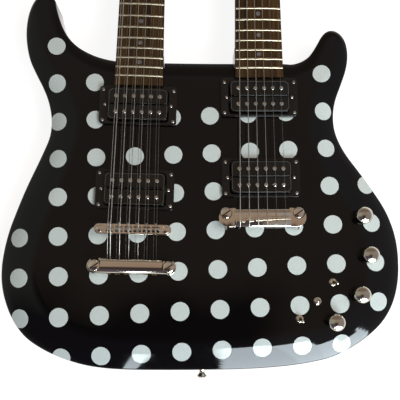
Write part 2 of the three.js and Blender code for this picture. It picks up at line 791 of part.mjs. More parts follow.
function potentiometer() {
  const ceiling = cavityCeiling - bodyThickness - seatGap;
  const nutTop = seatGap + controlNutHeight;
  return geometryOf(solid(turned([
    [0, ceiling - casingHeight], [casingRadius, ceiling - casingHeight], [casingRadius, ceiling],
    [threadRadius, ceiling], [threadRadius, seatGap], [controlNutRadius, seatGap], [controlNutRadius, nutTop],
    [threadRadius, nutTop], [threadRadius, knobLift + knobRecessDepth - seatGap],
    [controlShaftRadius, knobLift + knobRecessDepth - seatGap],
    [controlShaftRadius, knobLift + knobBoreDepth - seatGap], [0, knobLift + knobBoreDepth - seatGap],
  ], 7)));
}

function toggleSwitch() {
  const ceiling = cavityCeiling - bodyThickness - seatGap;
  const bush = turned([
    [0, ceiling - seatGap], [toggleBushRadius, ceiling - seatGap], [toggleBushRadius, seatGap],
    [toggleNutRadius, seatGap], [toggleNutRadius, seatGap + toggleNutHeight],
    [toggleBushRadius, seatGap + toggleNutHeight], [toggleBushRadius, toggleBushHeight],
    [toggleWell, toggleBushHeight], [toggleWell, 0], [0, 0],
  ], 8);
  const box = block(toggleBoxLength, toggleBoxWidth, toggleBoxDepth, 0, 0, ceiling - toggleBoxDepth);
  return geometryOf(union([bush, box]));
}

function toggleLever() {
  const ball = toggleBall * 0.7;
  return geometryOf(solid(turned([
    [0, -toggleBall], [ball, -ball], [toggleBall, 0], [ball, ball],
    [toggleStalk, toggleBall + toggleStalk / 2], [toggleTip, toggleReach - toggleTip * 2],
    [toggleTip, toggleReach - toggleTip / 2],
    [toggleTip / 2, toggleReach], [0, toggleReach],
  ], 6)));
}

// Convex outline round a set of places, at a margin from each
function hullAround(places, margin) {
  const points = places.flatMap(([x, y]) => Array.from({ length: 12 }, (_, i) => (
    [x + margin * Math.cos(30 * degrees * i), y + margin * Math.sin(30 * degrees * i)])));
  points.sort((a, b) => a[0] - b[0] || a[1] - b[1]);
  const turn = (o, a, b) => (a[0] - o[0]) * (b[1] - o[1]) - (a[1] - o[1]) * (b[0] - o[0]);
  const half = (list) => {
    const chain = [];
    for (const point of list) {
      while (chain.length > 1 && turn(chain.at(-2), chain.at(-1), point) <= 0) chain.pop();
      chain.push(point);
    }
    return chain.slice(0, -1);
  };
  const hull = [...half(points), ...half(points.slice().reverse())];
  return new THREE.Shape(hull.map(([x, y]) => new THREE.Vector2(x, y)));
}

const knobPlaces = knobShares.map(([x, y]) => [x * bodyWidth, y * bodyLength]);
const togglePlaces = toggleShares.map(([x, y]) => [x * bodyWidth, y * bodyLength]);
const controlPlaces = [...knobPlaces, ...togglePlaces];

function controlCover() {
  const shape = hullAround(controlPlaces, controlMargin + coverLedge - seatGap);
  return geometryOf(solid(slab(shape, coverThickness, 0)));
}

// Pieces on the body's side stand along the outward direction there
function sideMatrix(edge, out = new THREE.Vector3(-edge.inX, -edge.inY, 0)) {
  const up = new THREE.Vector3(0, 0, 1);
  const across = new THREE.Vector3().crossVectors(up, out);
  const height = (bodyThickness - carveDrop * edge.share) * sideFixingShare + backRound * sideFixingShare;
  return new THREE.Matrix4().makeBasis(across, up, out).setPosition(edge.x, edge.y, height);
}

function strapButton() {
  return geometryOf(solid(turned([
    [0, -strapScrewLength], [strapScrewRadius, -strapScrewLength + strapScrewRadius],
    [strapScrewRadius, seatGap], [strapBaseRadius, seatGap], [strapWaistRadius, strapLength * 0.35],
    [strapWaistRadius, strapLength * 0.5], [strapHeadRadius, strapLength * 0.8],
    [strapHeadRadius * 0.85, strapLength], [0, strapLength],
  ], 10)));
}

function outputSocket() {
  return geometryOf(solid(turned([
    [0, -socketDepth], [socketBarrelRadius, -socketDepth], [socketBarrelRadius, seatGap],
    [socketFlangeRadius, seatGap], [socketFlangeRadius * 0.9, seatGap + socketFlangeThickness],
    [socketBoreRadius, seatGap + socketFlangeThickness], [socketBoreRadius, -socketDepth * 0.8],
    [0, -socketDepth * 0.8],
  ], 10)));
}

// Body with every pocket, cavity and hole that its fittings need
function body(stations) {
  const tools = [];
  for (const { station, neckGroup, bridgePickupAt, posts } of stations) {
    neckGroup.updateMatrixWorld(true);
    tools.push(pocketBlock(seatGap, cutOverrun + heelDepth).applyMatrix4(neckGroup.matrixWorld));
    const local = [neckPickupAt, bridgePickupAt].flatMap(pickupCavity);
    for (const [x, y, radius] of posts) {
      local.push(rod(radius + seatGap, bushDepth + seatGap + cutOverrun, 10, x, y, -bushDepth - seatGap));
    }
    tools.push(...local.map((tool) => tool.applyMatrix4(station.matrixWorld)));
  }
  tools.push(slab(hullAround(controlPlaces, controlMargin), cavityCeiling + cutOverrun, -cutOverrun));
  tools.push(slab(hullAround(controlPlaces, controlMargin + coverLedge),
    coverThickness + seatGap + cutOverrun, -cutOverrun));
  const low = backRound + cutOverrun;
  for (const [x, y] of knobPlaces) {
    tools.push(rod(threadRadius + seatGap, bodyThickness, 10, x, y, low));
  }
  for (const [x, y] of togglePlaces) {
    tools.push(rod(toggleBushRadius + seatGap, bodyThickness, 10, x, y, low));
  }
  for (const matrix of strapMatrices) {
    const hole = rod(strapScrewRadius + seatGap, strapScrewLength + seatGap + cutOverrun, 8, 0, 0,
      -strapScrewLength - seatGap);
    tools.push(hole.applyMatrix4(matrix));
  }
  const socketReach = socketEdge.x - Math.max(...knobPlaces.map(([x]) => x));
  const socketHole = rod(socketBarrelRadius + seatGap, socketReach + cutOverrun, 16, 0, 0, -socketReach);
  tools.push(socketHole.applyMatrix4(socketMatrix));
  return geometryOf(without(solid(bodyBlank()), tools));
}

const footEdge = { ...nearestEdge(bottomStrapShare), x: bottomStrapShare[0] * bodyWidth };
const strapMatrices = [sideMatrix(outline[0]), sideMatrix(footEdge, new THREE.Vector3(0, -1, 0))];
const socketEdge = outline.reduce((best, edge) => (edge.x > best.x ? edge : best));
const socketMatrix = sideMatrix(socketEdge, new THREE.Vector3(1, 0, 0));

// One neck with everything along its strings
function addNeck(side, tag, options) {
  const groups = makeStation(side);
  const { station, neckGroup, headGroup } = groups;
  const places = postPlaces(options.perSide, options.firstPost, options.postPitch);
  const headPieces = [headstock(options.headLength), ...places.flatMap(tunerFixedParts)];
  const neckPieces = [neckShaft(), pocketBlock(0, 0)];
  neckPieces.push(...headPieces.map((piece) => piece.applyMatrix4(headGroup.matrix)));
  neckGroup.add(mesh(`neck_${tag}`, geometryOf(union(neckPieces)), neckLacquer));
  neckGroup.add(mesh(`fretboard_${tag}`, fretboard(), rosewood));
  const cover = mesh(`truss_rod_cover_${tag}`, trussCover(), blackPlastic);
  cover.position.y = nutLength;
  headGroup.add(cover);
  places.forEach((place, i) => {
    const button = mesh(`tuner_button_${tag}_${i + 1}`, tunerButton(), chrome);
    button.position.set(place.side * (headHalfWidth + seatGap), place.y, -headThickness - housingDepth / 2);
    button.rotation.z = place.side < 0 ? Math.PI : 0;
    headGroup.add(button);
  });
  for (const [name, y] of [['neck', neckPickupAt], ['bridge', options.bridgePickupAt]]) {
    const ring = mesh(`pickup_ring_${tag}_${name}`, pickupRing(), blackPlastic);
    const unit = mesh(`pickup_${tag}_${name}`, pickup(), blackPlastic);
    ring.position.y = y;
    unit.position.y = y;
    station.add(ring, unit);
  }
  return { ...groups, places };
}

const twelve = addNeck(-1, '12', {
  perSide: 6, firstPost: firstPost12, postPitch: postPitch12, headLength: headLength12,
  bridgePickupAt: bridgePickupAt12,
});
const six = addNeck(1, '6', {
  perSide: 3, firstPost: firstPost6, postPitch: postPitch6, headLength: headLength6,
  bridgePickupAt: bridgePickupAt6,
});

// Twelve strings: six courses of two, over the saddles and into the tailpiece's front
const tailFront = tailWidth / 2 - tailBack + seatGap;
const twelveStrings = [];
for (let course = 0; course < 6; course += 1) {
  for (const which of [-1, 1]) {
    const order = 2 * (course < 3 ? course : 5 - course) + (which > 0 ? 1 : 0);
    const post = twelve.places[(course < 3 ? 0 : 6) + (order % 6)];
    const bridgeX = saddleX(course) + which * courseGapAtBridge / 2;
    const gauge = which < 0 ? octaveGauges[course] : stringGauges[course];
    twelveStrings.push({
      gauge, post,
      anchor: [new THREE.Vector3(bridgeX, tailFront + gauge, tailFloor + tailHeight * 0.4)],
      saddle: new THREE.Vector3(bridgeX, saddleY(course), saddleHeight),
      nutX: spread(6, stringSpanAtNut)[course] + which * courseGapAtNut / 2,
    });
  }
}
twelve.station.add(mesh('strings_12', stringSet(twelve, twelveStrings), steel));
twelve.station.add(mesh('bridge_12', tuneBridge(), chrome));
twelve.station.add(mesh('tailpiece_12', tailpiece(), chrome));
spread(2, studSpacing).forEach((x, i) => {
  const piece = mesh(`tailpiece_stud_${i + 1}`, stud(), chrome);
  piece.position.set(x, -tailBack, 0);
  twelve.station.add(piece);
});

// Six strings: over the ridge and down round the back of the wrap-around bridge
const wrapTop = wrapFloor + wrapHeight;
const sixStrings = stringGauges.map((gauge, course) => {
  const x = saddleX(course);
  const clear = gauge / 2 + seatGap;
  const post = six.places[course < 3 ? course : 8 - course];
  return {
    gauge, post,
    anchor: [
      new THREE.Vector3(x, -wrapBack - clear, wrapFloor + wrapHeight * 0.35),
      new THREE.Vector3(x, -wrapBack + wrapHeight * 0.1 - clear, wrapTop - ridgeHeight * 1.5 + clear),
      new THREE.Vector3(x, ridgeY(course) - ridgeWidth / 2, wrapTop + clear),
    ],
    saddle: new THREE.Vector3(x, ridgeY(course) + ridgeWidth / 2, wrapTop + clear),
    nutX: spread(6, stringSpanAtNut)[course],
  };
});
six.station.add(mesh('strings_6', stringSet(six, sixStrings), steel));
six.station.add(mesh('bridge_6', wrapBridge(), chrome));
spread(2, studSpacing).forEach((x, i) => {
  const piece = mesh(`bridge_stud_${i + 1}`, stud(), chrome);
  piece.position.set(x, wrapStudForward, 0);
  six.station.add(piece);
});

// Body and what is fixed straight to it
const bridgePosts = spread(2, postSpacing).map((x) => [x, -bridgeBack, bridgePostRadius]);
const tailStuds = spread(2, studSpacing).map((x) => [x, -tailBack, bushRadius]);
const wrapStuds = spread(2, studSpacing).map((x) => [x, wrapStudForward, bushRadius]);
part.add(mesh('guitar_body', body([
  { ...twelve, bridgePickupAt: bridgePickupAt12, posts: [...bridgePosts, ...tailStuds] },
  { ...six, bridgePickupAt: bridgePickupAt6, posts: wrapStuds },
]), lacquer));
part.add(mesh('control_cover', controlCover(), blackPlastic));
knobPlaces.forEach(([x, y], i) => {
  const pot = mesh(`potentiometer_${i + 1}`, potentiometer(), steel);
  const cap = mesh(`control_knob_${i + 1}`, knob(), chrome);
  pot.position.set(x, y, bodyThickness);
  cap.position.set(x, y, bodyThickness + knobLift);
  part.add(pot, cap);
});
togglePlaces.forEach(([x, y], i) => {
  const base = mesh(`toggle_switch_${i + 1}`, toggleSwitch(), chrome);
  base.position.set(x, y, bodyThickness);
  base.rotation.z = toggleThrowAzimuths[i] * degrees;
  const tilt = new THREE.Group();
  tilt.position.z = togglePivot;
  tilt.rotation.y = toggleThrowDegrees * degrees;
  tilt.add(mesh(`toggle_lever_${i + 1}`, toggleLever(), chrome));
  base.add(tilt);
  part.add(base);
});
strapMatrices.forEach((matrix, i) => {
  const button = mesh(`strap_button_${i + 1}`, strapButton(), chrome);
  button.applyMatrix4(matrix);
  part.add(button);
});
const socket = mesh('output_jack', outputSocket(), chrome);
socket.applyMatrix4(socketMatrix);
part.add(socket);

export default part;
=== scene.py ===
"""Looks of a double-neck electric guitar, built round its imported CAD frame.

Shapes are drawn in millimetres in the CAD's own frames: each set of strings has a station on the
body's face, its neck is pitched back from the station, and its headstock is tilted from the neck.
"""

from functools import partialmethod
from math import copysign, cos, pi, radians, sin, sqrt, tan

import bmesh
import bpy
import numpy as np
from mathutils import Matrix, Vector
from mathutils.geometry import convex_hull_2d


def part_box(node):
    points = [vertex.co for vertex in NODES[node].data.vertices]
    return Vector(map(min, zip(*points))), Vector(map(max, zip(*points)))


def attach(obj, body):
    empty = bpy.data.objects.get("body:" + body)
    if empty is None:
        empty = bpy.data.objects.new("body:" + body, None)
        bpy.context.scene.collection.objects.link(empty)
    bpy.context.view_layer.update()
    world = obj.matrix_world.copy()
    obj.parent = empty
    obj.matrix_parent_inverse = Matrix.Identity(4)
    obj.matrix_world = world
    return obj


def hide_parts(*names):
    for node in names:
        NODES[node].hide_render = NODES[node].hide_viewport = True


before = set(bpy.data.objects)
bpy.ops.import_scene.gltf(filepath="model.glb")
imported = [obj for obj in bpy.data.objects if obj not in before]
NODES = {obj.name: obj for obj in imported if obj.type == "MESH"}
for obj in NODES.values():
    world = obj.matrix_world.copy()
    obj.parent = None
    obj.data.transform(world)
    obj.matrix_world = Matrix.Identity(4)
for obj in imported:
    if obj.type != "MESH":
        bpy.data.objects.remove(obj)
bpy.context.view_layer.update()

MM = 0.001

# Body
BODY_THICKNESS = 48.0
CARVE_DROP = 13.0
CARVE_BAND = 45.0
BACK_ROUND = 5.0
RIM_ROUND = 2.5

# Scale and the lie of the necks
SCALE_LENGTH = 635.0
FRET_COUNT = 22
NECK_SPACING = 146.5
NECK_STAGGER = 11.9
CONVERGE = 0.89
PITCH = 0.5
HEAD_TILT = 7.0
GAP = 0.3

# Fretboard, nut and neck
BOARD_END = 167.0
BOARD_TOP = 11.3
BOARD_THICKNESS = 5.5
NECK_FACE = BOARD_TOP - BOARD_THICKNESS
BOARD_END_WIDTH = 56.6
BOARD_RADIUS = 300.0
NUT_WIDTH = 44.0
NUT_LENGTH = 4.5
NUT_END = SCALE_LENGTH + NUT_LENGTH
NUT_HEIGHT = 7.2
FRET_HEIGHT = 1.05
FRET_WIDTH = 2.3
NECK_DEPTH_AT_NUT = 15.0
NECK_DEPTH_AT_HEEL = 18.5
HEEL_DEPTH = 29.0
HEEL_LENGTH = 46.0
POCKET_LENGTH = 37.0
POCKET_END = BOARD_END + POCKET_LENGTH
HEEL_END = POCKET_END + HEEL_LENGTH
SHOULDER_DEPTH = 2.5
HEAD_BLEND = 12.0

# Headstock and tuning machines
HEAD_THICKNESS = 13.0
HEAD_HALF_WIDTH = 33.0
POST_OFFSET = 21.5
POST_RADIUS = 2.8
POST_HEIGHT = 13.0
BUSHING_RADIUS = 4.6
BUSHING_HEIGHT = 1.6
HOUSING_DEPTH = 9.5
HOUSING_LENGTH = 15.0
BUTTON_STANDOFF = 4.0
BUTTON_REACH = 13.0
BUTTON_WIDTH = 15.0
BUTTON_THICKNESS = 6.0

# Pickups and rings
RING_LENGTH = 90.0
RING_WIDTH = 46.0
RING_HEIGHT = 4.5
RING_CORNER = 4.0
PICKUP_LENGTH = 69.0
PICKUP_WIDTH = 36.6
PICKUP_PROUD = 9.6
BOBBIN_GAP = 1.2
POLE_ROWS = 18.9
POLE_SPAN = 50.5
POLE_RADIUS = 2.25
RING_SCREW_SPAN = (82.0, 36.5)
HEIGHT_SCREW_SPAN = 77.0
CAVITY_DEPTH = 21.0
CAVITY_MARGIN = 2.0
EAR_CAVITY = (86.0, 15.0)

# Strings
STRING_SPAN_AT_BRIDGE = 51.5
STRING_SPAN_AT_NUT = 35.5
COURSE_GAP_AT_BRIDGE = 3.2
COURSE_GAP_AT_NUT = 1.9
SADDLE_HEIGHT = 16.0
STRING_AT_NUT = 12.9
GAUGES = (1.1, 0.9, 0.75, 0.6, 0.45, 0.35)
OCTAVE_GAUGES = (0.6, 0.45, 0.4, 0.35, 0.45, 0.35)
THINNEST_WOUND = 0.55

# Twelve-string bridge and tailpiece
BRIDGE_LENGTH = 86.5
BRIDGE_WIDTH = 11.6
BRIDGE_FLOOR = 4.5
BRIDGE_HEIGHT = 7.5
BRIDGE_BACK = 1.8
BRIDGE_POSTS = 74.0
WHEEL_RADIUS = 6.0
SADDLE_WIDTH = 8.4
SADDLE_REAR = 1.1
POCKET_REAR = 3.3
SADDLE_STEP = 0.3
TAIL_BACK = 43.3
TAIL_WIDTH = 17.6
TAIL_HEIGHT = 10.5
TAIL_FLOOR = 4.0
TAIL_HOLE = TAIL_FLOOR + TAIL_HEIGHT * 0.4
STUD_SPACING = 82.5
STUD_HEAD_RADIUS = 6.8
STUD_HEAD_HEIGHT = 3.0
STUD_NECK_RADIUS = 4.0
EAR_TOP = TAIL_FLOOR + 5.0

# Six-string wrap-around bridge
LUG_RADIUS = 10.8
LUG_INWARD = 2.5
LUG_FORWARD = 1.2
LUG_INNER = 30.5
LUG_HEIGHT = 8.6
WRAP_WIDTH = 21.6
WRAP_HEIGHT = 11.5
WRAP_FLOOR = 4.3
WRAP_TOP = WRAP_FLOOR + WRAP_HEIGHT
WRAP_BACK = 9.8
WRAP_STUD_FORWARD = 6.3
RIDGE_HEIGHT = 1.6
RIDGE_WIDTH = 3.6
RIDGE_STEP = 0.8

# Controls
KNOB_RADIUS = 9.3
KNOB_HEIGHT = 16.5
CONTROL_MARGIN = 16.0
COVER_LEDGE = 5.0
COVER_THICKNESS = 2.0
CAVITY_CEILING = 38.0

# Painted dots: a turned square grid on the face, with its first column and row at the top left
DOT_PITCH = 45.0
DOT_RADIUS = 10.52
DOT_TURN = 3.08
DOT_AT = (-24.17, -3.34)
DOT_COLUMN_AT = 4
DOT_ROW_AT = 5
DOT_PAINT = ((0.505, 0.56, 0.545), (0.57, 0.625, 0.605))
# Column and row of two dots that rings would hide almost whole, and of one on the edge
DOTS_LEFT_OUT = ((3, 2), (6, 4), (0, 4))
# How far the painted rows wander from the square grid, mm along x and y, for x, y, xx, xy, yy,
# xxx, xxy, xyy and yyy, where x and y are the place over DOT_BEND_REACH
DOT_BEND_REACH = 200.0
DOT_BEND = ((0.45, -0.36), (0.92, 0.52), (-0.47, -0.96), (1.95, 0.62), (-0.36, 0.25),
            (-1.14, 0.54), (-0.54, -2.26), (-1.36, -0.51), (-0.79, -0.32))


def turn(axis, degrees):
    return Matrix.Rotation(radians(degrees), 4, axis)


def shift(x=0.0, y=0.0, z=0.0):
    return Matrix.Translation((x, y, z))


SIDES = {"12": -1, "6": 1}
STATION = {
    tag: shift(side * NECK_SPACING / 2, NECK_STAGGER if side > 0 else 0, BODY_THICKNESS)
    @ turn("Z", side * CONVERGE)
    for tag, side in SIDES.items()
}
NECK = {tag: STATION[tag] @ turn("X", -PITCH) for tag in SIDES}
HEAD = {
    tag: NECK[tag] @ shift(0, NUT_END, NECK_FACE - GAP) @ turn("X", -HEAD_TILT)
    for tag in SIDES
}


# A shape is points in millimetres with faces between them, or a list of shapes
def loft(rings, closed=False):
    """Faces between rings of equal counts, anticlockwise seen from the last ring's side."""
    count, last = len(rings[0]), len(rings) - 1
    points = [Vector(p) for ring in rings for p in ring]
    pairs = [(a, a + 1) for a in range(last)] + [(last, 0)] * closed
    faces = [
        (a * count + i, a * count + (i + 1) % count, b * count + (i + 1) % count, b * count + i)
        for a, b in pairs
        for i in range(count)
    ]
    if not closed:
        faces.append(tuple(reversed(range(count))))
        faces.append(tuple(last * count + i for i in range(count)))
    return points, faces


def circle(count):
    """Angles round a circle."""
    return [2 * pi * k / count for k in range(count)]


def lathe(profile, steps=32):
    """A profile of radius and height turned about Z. A point on the axis becomes a pole."""
    points, rows, faces = [], [], []
    for radius, z in profile:
        if radius == 0:
            rows.append([len(points)] * steps)
            points.append(Vector((0, 0, z)))
            continue
        rows.append(list(range(len(points), len(points) + steps)))
        points += [Vector((radius * cos(a), radius * sin(a), z)) for a in circle(steps)]
    for low, high in zip(rows, rows[1:]):
        for i in range(steps):
            j = (i + 1) % steps
            face = tuple(dict.fromkeys((low[i], low[j], high[j], high[i])))
            if len(face) > 2:
                faces.append(face)
    return points, faces


def disc(radius, low, high, bevel=(0.0, 0.0), steps=32):
    """A round plate between two heights, with its top edge bevelled in and down."""
    profile = [(0, low), (radius, low), (radius, high - bevel[1]), (radius - bevel[0], high)]
    return lathe(list(dict.fromkeys(profile)) + [(0, high)], steps)


def soften(points, size, steps=3, closed=True):
    """An outline with its corners rounded over a length of each edge."""
    points = [Vector(p) for p in points]
    result = []
    for i, corner in enumerate(points):
        if not closed and i in (0, len(points) - 1):
            result.append(corner)
            continue
        back = points[i - 1] - corner
        on = points[(i + 1) % len(points)] - corner
        start = corner + back.normalized() * min(size, back.length * 0.45)
        end = corner + on.normalized() * min(size, on.length * 0.45)
        for k in range(steps + 1):
            t = k / steps
            result.append(start * (1 - t) ** 2 + corner * 2 * t * (1 - t) + end * t * t)
    return result


def soft_disc(radius, low, high, size, steps):
    """A round plate between two heights, with its edges rounded."""
    profile = [(0, low), (radius, low), (radius, high), (0, high)]
    return lathe(soften(profile, size, steps, False), 40)


def anticlockwise(outline):
    area = sum(a[0] * b[1] - b[0] * a[1] for a, b in zip(outline, outline[1:] + outline[:1]))
    return outline if area > 0 else outline[::-1]


def inset(outline, distance):
    """An anticlockwise outline moved inwards."""
    result = []
    for i, point in enumerate(outline):
        a = (point - outline[i - 1]).normalized()
        b = (outline[(i + 1) % len(outline)] - point).normalized()
        across = Vector((-a.y - b.y, a.x + b.x))
        result.append(point + across * distance / max(1 + a.dot(b), 0.5))
    return result


def rounding(radius, steps, degrees=90):
    """A corner's rounding in steps: how far in and how far up each lies, from foot to side."""
    angles = [radians(degrees) * k / steps for k in range(steps + 1)] if radius else [0]
    return [(radius * (1 - sin(a)), radius * (1 - cos(a))) for a in angles]


def level(outline, z, by=0.0):
    """A ring at height z, from an outline moved inwards."""
    return [(p.x, p.y, z) for p in inset(outline, by)]


def slab(outline, low, high, top_edge=0.0, low_edge=0.0, steps=3):
    """A plate between two heights, with rounded edges."""
    outline = anticlockwise([Vector(p[:2]) for p in outline])
    rings = [level(outline, low + up, by) for by, up in rounding(low_edge, steps)]
    rings += [level(outline, high - down, by) for down, by in rounding(top_edge, steps)]
    return loft(rings)


def hex_nut(radius, low, high, corner=0.3, edge=0.3):
    corners = [(radius * cos(a), radius * sin(a)) for a in circle(6)]
    return slab(soften(corners, corner, 2), low, high, edge)


def box(width, depth, height, x=0.0, y=0.0, z=0.0):
    """A block that stands on height z."""
    w, d = width / 2, depth / 2
    return slab([(x - w, y - d), (x + w, y - d), (x + w, y + d), (x - w, y + d)], z, z + height)


def rod(radius, height, x=0.0, y=0.0, z=0.0, steps=24):
    return moved(lathe([(0, 0), (radius, 0), (radius, height), (0, height)], steps), shift(x, y, z))


def tube(path, radius, sides=8):
    """A round bar along a path, with flat ends."""
    rings, across = [], None
    for i, point in enumerate(path):
        along = (path[min(i + 1, len(path) - 1)] - path[max(i - 1, 0)]).normalized()
        across = (across or along.orthogonal()).normalized()
        across = (across - along * across.dot(along)).normalized()
        up = along.cross(across)
        rings.append([point + radius * (across * cos(a) + up * sin(a)) for a in circle(sides)])
    return loft(rings)


def rounded_rectangle(length, width, corner, steps=6):
    x, y = length / 2 - corner, width / 2 - corner
    outline = []
    for k, (x_side, y_side) in enumerate(((1, 1), (-1, 1), (-1, -1), (1, -1))):
        for s in range(steps + 1):
            a = pi / 2 * (k + s / steps)
            outline.append(Vector((x_side * x + corner * cos(a), y_side * y + corner * sin(a))))
    return outline


def joined(shape):
    """A shape as it is, or a list of shapes as one."""
    if isinstance(shape, tuple):
        return shape
    points, faces = [], []
    for more, their_faces in map(joined, shape):
        faces += [tuple(i + len(points) for i in face) for face in their_faces]
        points += more
    return points, faces


def moved(shape, matrix):
    points, faces = joined(shape)
    return [matrix @ p for p in points], faces


TO_X = turn("Y", 90)
ALONG_X = Matrix(((0, 0, 1, 0), (1, 0, 0, 0), (0, 1, 0, 0), (0, 0, 0, 1)))
ALONG_Y = Matrix(((-1, 0, 0, 0), (0, 0, 1, 0), (0, 1, 0, 0), (0, 0, 0, 1)))


def bar_along_x(section, length, edge=0.4):
    """A bar along X from a section drawn as across and up."""
    return moved(slab(section, -length / 2, length / 2, edge, edge), ALONG_X)


def spread(count, span):
    return [(i / (count - 1) - 0.5) * span for i in range(count)]


def scene_object(name, data):
    made = bpy.data.objects.new(name, data)
    bpy.context.scene.collection.objects.link(made)
    return made


def mesh_object(name, shape):
    points, faces = joined(shape)
    mesh = bpy.data.meshes.new(name)
    mesh.from_pydata([tuple(p * MM) for p in points], [], faces)
    return scene_object(name, mesh)


def tidy_mesh(mesh):
    edit = bmesh.new()
    edit.from_mesh(mesh)
    bmesh.ops.remove_doubles(edit, verts=edit.verts, dist=0.002 * MM)
    bmesh.ops.recalc_face_normals(edit, faces=edit.faces)
    edit.to_mesh(mesh)
    edit.free()


def cut(shape, *tools):
    """A shape with others cut out of it, one after another."""
    made = [mesh_object("cut", s) for s in (shape, *tools)]
    for one in made:
        tidy_mesh(one.data)
    for tool in made[1:]:
        modifier = made[0].modifiers.new("cut", "BOOLEAN")
        modifier.operation = "DIFFERENCE"
        modifier.solver = "EXACT"
        modifier.object = tool
    bpy.context.view_layer.update()
    result = made[0].evaluated_get(bpy.context.evaluated_depsgraph_get()).to_mesh()
    points = [v.co / MM for v in result.vertices]
    faces = [tuple(p.vertices) for p in result.polygons]
    for one in made:
        bpy.data.objects.remove(one)
    return points, faces


def piece(name, shape, look, at=Matrix(), body="guitar", stands_for=(), sharp=35):
    """A piece of the guitar, shaded smooth up to the given angle, which rides on a body."""
    made = mesh_object(name, moved(shape, at))
    tidy_mesh(made.data)
    made.data.shade_smooth()
    made.data.set_sharp_from_angle(angle=radians(sharp))
    made.data.materials.append(look)
    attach(made, body)
    if stands_for:
        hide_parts(*stands_for)


# Materials
class Number:
    """A number in a material or world. Operators add Math nodes, and | is for the maximum."""

    def __init__(self, socket):
        self.socket = socket

    def work(self, operation, *others):
        made = node(self, "Math", dict(enumerate((self, *others))), operation=operation)
        return Number(made.outputs[0])

    __add__ = partialmethod(work, "ADD")
    __sub__ = partialmethod(work, "SUBTRACT")
    __mul__ = partialmethod(work, "MULTIPLY")
    __truediv__ = partialmethod(work, "DIVIDE")
    __gt__ = partialmethod(work, "GREATER_THAN")
    __lt__ = partialmethod(work, "LESS_THAN")
    __or__ = partialmethod(work, "MAXIMUM")


def node(owner, kind, inputs=None, **settings):
    """A new node in a material or world, or beside the node that a value comes from."""
    if isinstance(owner, Number):
        owner = owner.socket
    tree = owner.id_data if isinstance(owner, bpy.types.NodeSocket) else owner.node_tree
    made = tree.nodes.new("ShaderNode" + kind)
    for key, value in settings.items():
        setattr(made, key, value)
    give(made, inputs or {})
    return made


def give(made, inputs):
    """Link outputs to a node's inputs, or set them to values."""
    for key, value in inputs.items():
        socket = made.inputs[key]
        if isinstance(value, Number):
            value = value.socket
        if isinstance(value, bpy.types.NodeSocket):
            socket.id_data.links.new(value, socket)
        else:
            socket.default_value = (*value, 1) if socket.type == "RGBA" else value


def material(name, color, roughness, metallic=0.0, ior=1.5):
    look = bpy.data.materials.new(name)
    look.use_nodes = True
    shader = look.node_tree.nodes["Principled BSDF"]
    give(shader, {"Base Color": color, "Roughness": roughness, "Metallic": metallic, "IOR": ior})
    return look, shader


def object_coordinates(look, scale=(1, 1, 1)):
    place = node(look, "TexCoord").outputs["Object"]
    return node(look, "Mapping", {"Vector": place, "Scale": scale}).outputs["Vector"]


def parts_of(vector):
    return [Number(part) for part in node(vector, "SeparateXYZ", {"Vector": vector}).outputs]


def noise(look, scale, detail, roughness=0.5, stretch=(1, 1, 1)):
    made = node(look, "TexNoise", {
        "Vector": object_coordinates(look, stretch), "Scale": scale, "Detail": detail,
        "Roughness": roughness})
    return Number(made.outputs["Fac"])


def ranged(value, low=0.0, high=1.0, start=0.3, end=0.7):
    """Between low and high as the value goes from start to end."""
    made = node(value, "MapRange", {
        "Value": value, "From Min": start, "From Max": end, "To Min": low, "To Max": high})
    return Number(made.outputs["Result"])


def mixed(factor, a, b):
    """A colour between two colours."""
    return node(factor, "Mix", {0: factor, 6: a, 7: b}, data_type="RGBA").outputs[2]


def bump(shader, height, distance, strength=1.0):
    made = node(height, "Bump", {"Height": height, "Distance": distance * MM, "Strength": strength})
    give(shader, {"Normal": made.outputs["Normal"]})


def dots(look):
    """Where the face has a painted dot: a turned square grid that bends a little."""
    x, y, _ = parts_of(node(look, "TexCoord").outputs["Object"])
    a, b = (v / (DOT_BEND_REACH * MM) for v in (x, y))
    aa, bb = a * a, b * b
    terms = (a, b, aa, a * b, bb, aa * a, aa * b, bb * a, bb * b)
    x, y = x - DOT_AT[0] * MM, y - DOT_AT[1] * MM
    for term, (across, along) in zip(terms, DOT_BEND):
        x = term.work("MULTIPLY_ADD", across * MM, x)
        y = term.work("MULTIPLY_ADD", along * MM, y)
    c, s = (f(radians(DOT_TURN)) / (DOT_PITCH * MM) for f in (cos, sin))
    u, v = x * c + y * s, y * c - x * s
    column, row = u.work("ROUND"), v.work("ROUND")
    across, along = u - column, v - row
    inside = (across * across + along * along).work("SQRT") < DOT_RADIUS / DOT_PITCH
    # From the top left, row 0 has one dot, on the bass horn, and row 1 none between the necks
    column, row = column + DOT_COLUMN_AT, row * -1 + DOT_ROW_AT
    kept = (row > 1.5) | (row > 0.5) * ((column < 2.5) + (column > 7.5))
    kept = kept | column.work("COMPARE", 1, 0.5) * (row > -0.5)
    for column_out, row_out in DOTS_LEFT_OUT:
        out = column.work("COMPARE", column_out, 0.5) * row.work("COMPARE", row_out, 0.5)
        kept = kept * (out < 0.5)
    upward = parts_of(node(look, "NewGeometry").outputs["Normal"])[2]
    return inside * kept * (upward > 0.5)


BLACK = (0.0018, 0.0016, 0.0017)


def lacquer(name, dotted):
    """Gloss black lacquer with faint hazy wear, and the painted dots where it is dotted."""
    look, shader = material(name, BLACK, 0.05, ior=1.38)
    give(shader, {"Roughness": ranged(noise(look, 55, 5), 0.025, 0.075)})
    bump(shader, noise(look, 26, 2), 0.06)
    if dotted:
        paint = mixed(ranged(noise(look, 900, 2), 0, 1, 0.35, 0.65), *DOT_PAINT)
        give(shader, {"Base Color": mixed(dots(look), BLACK, paint)})
    return look


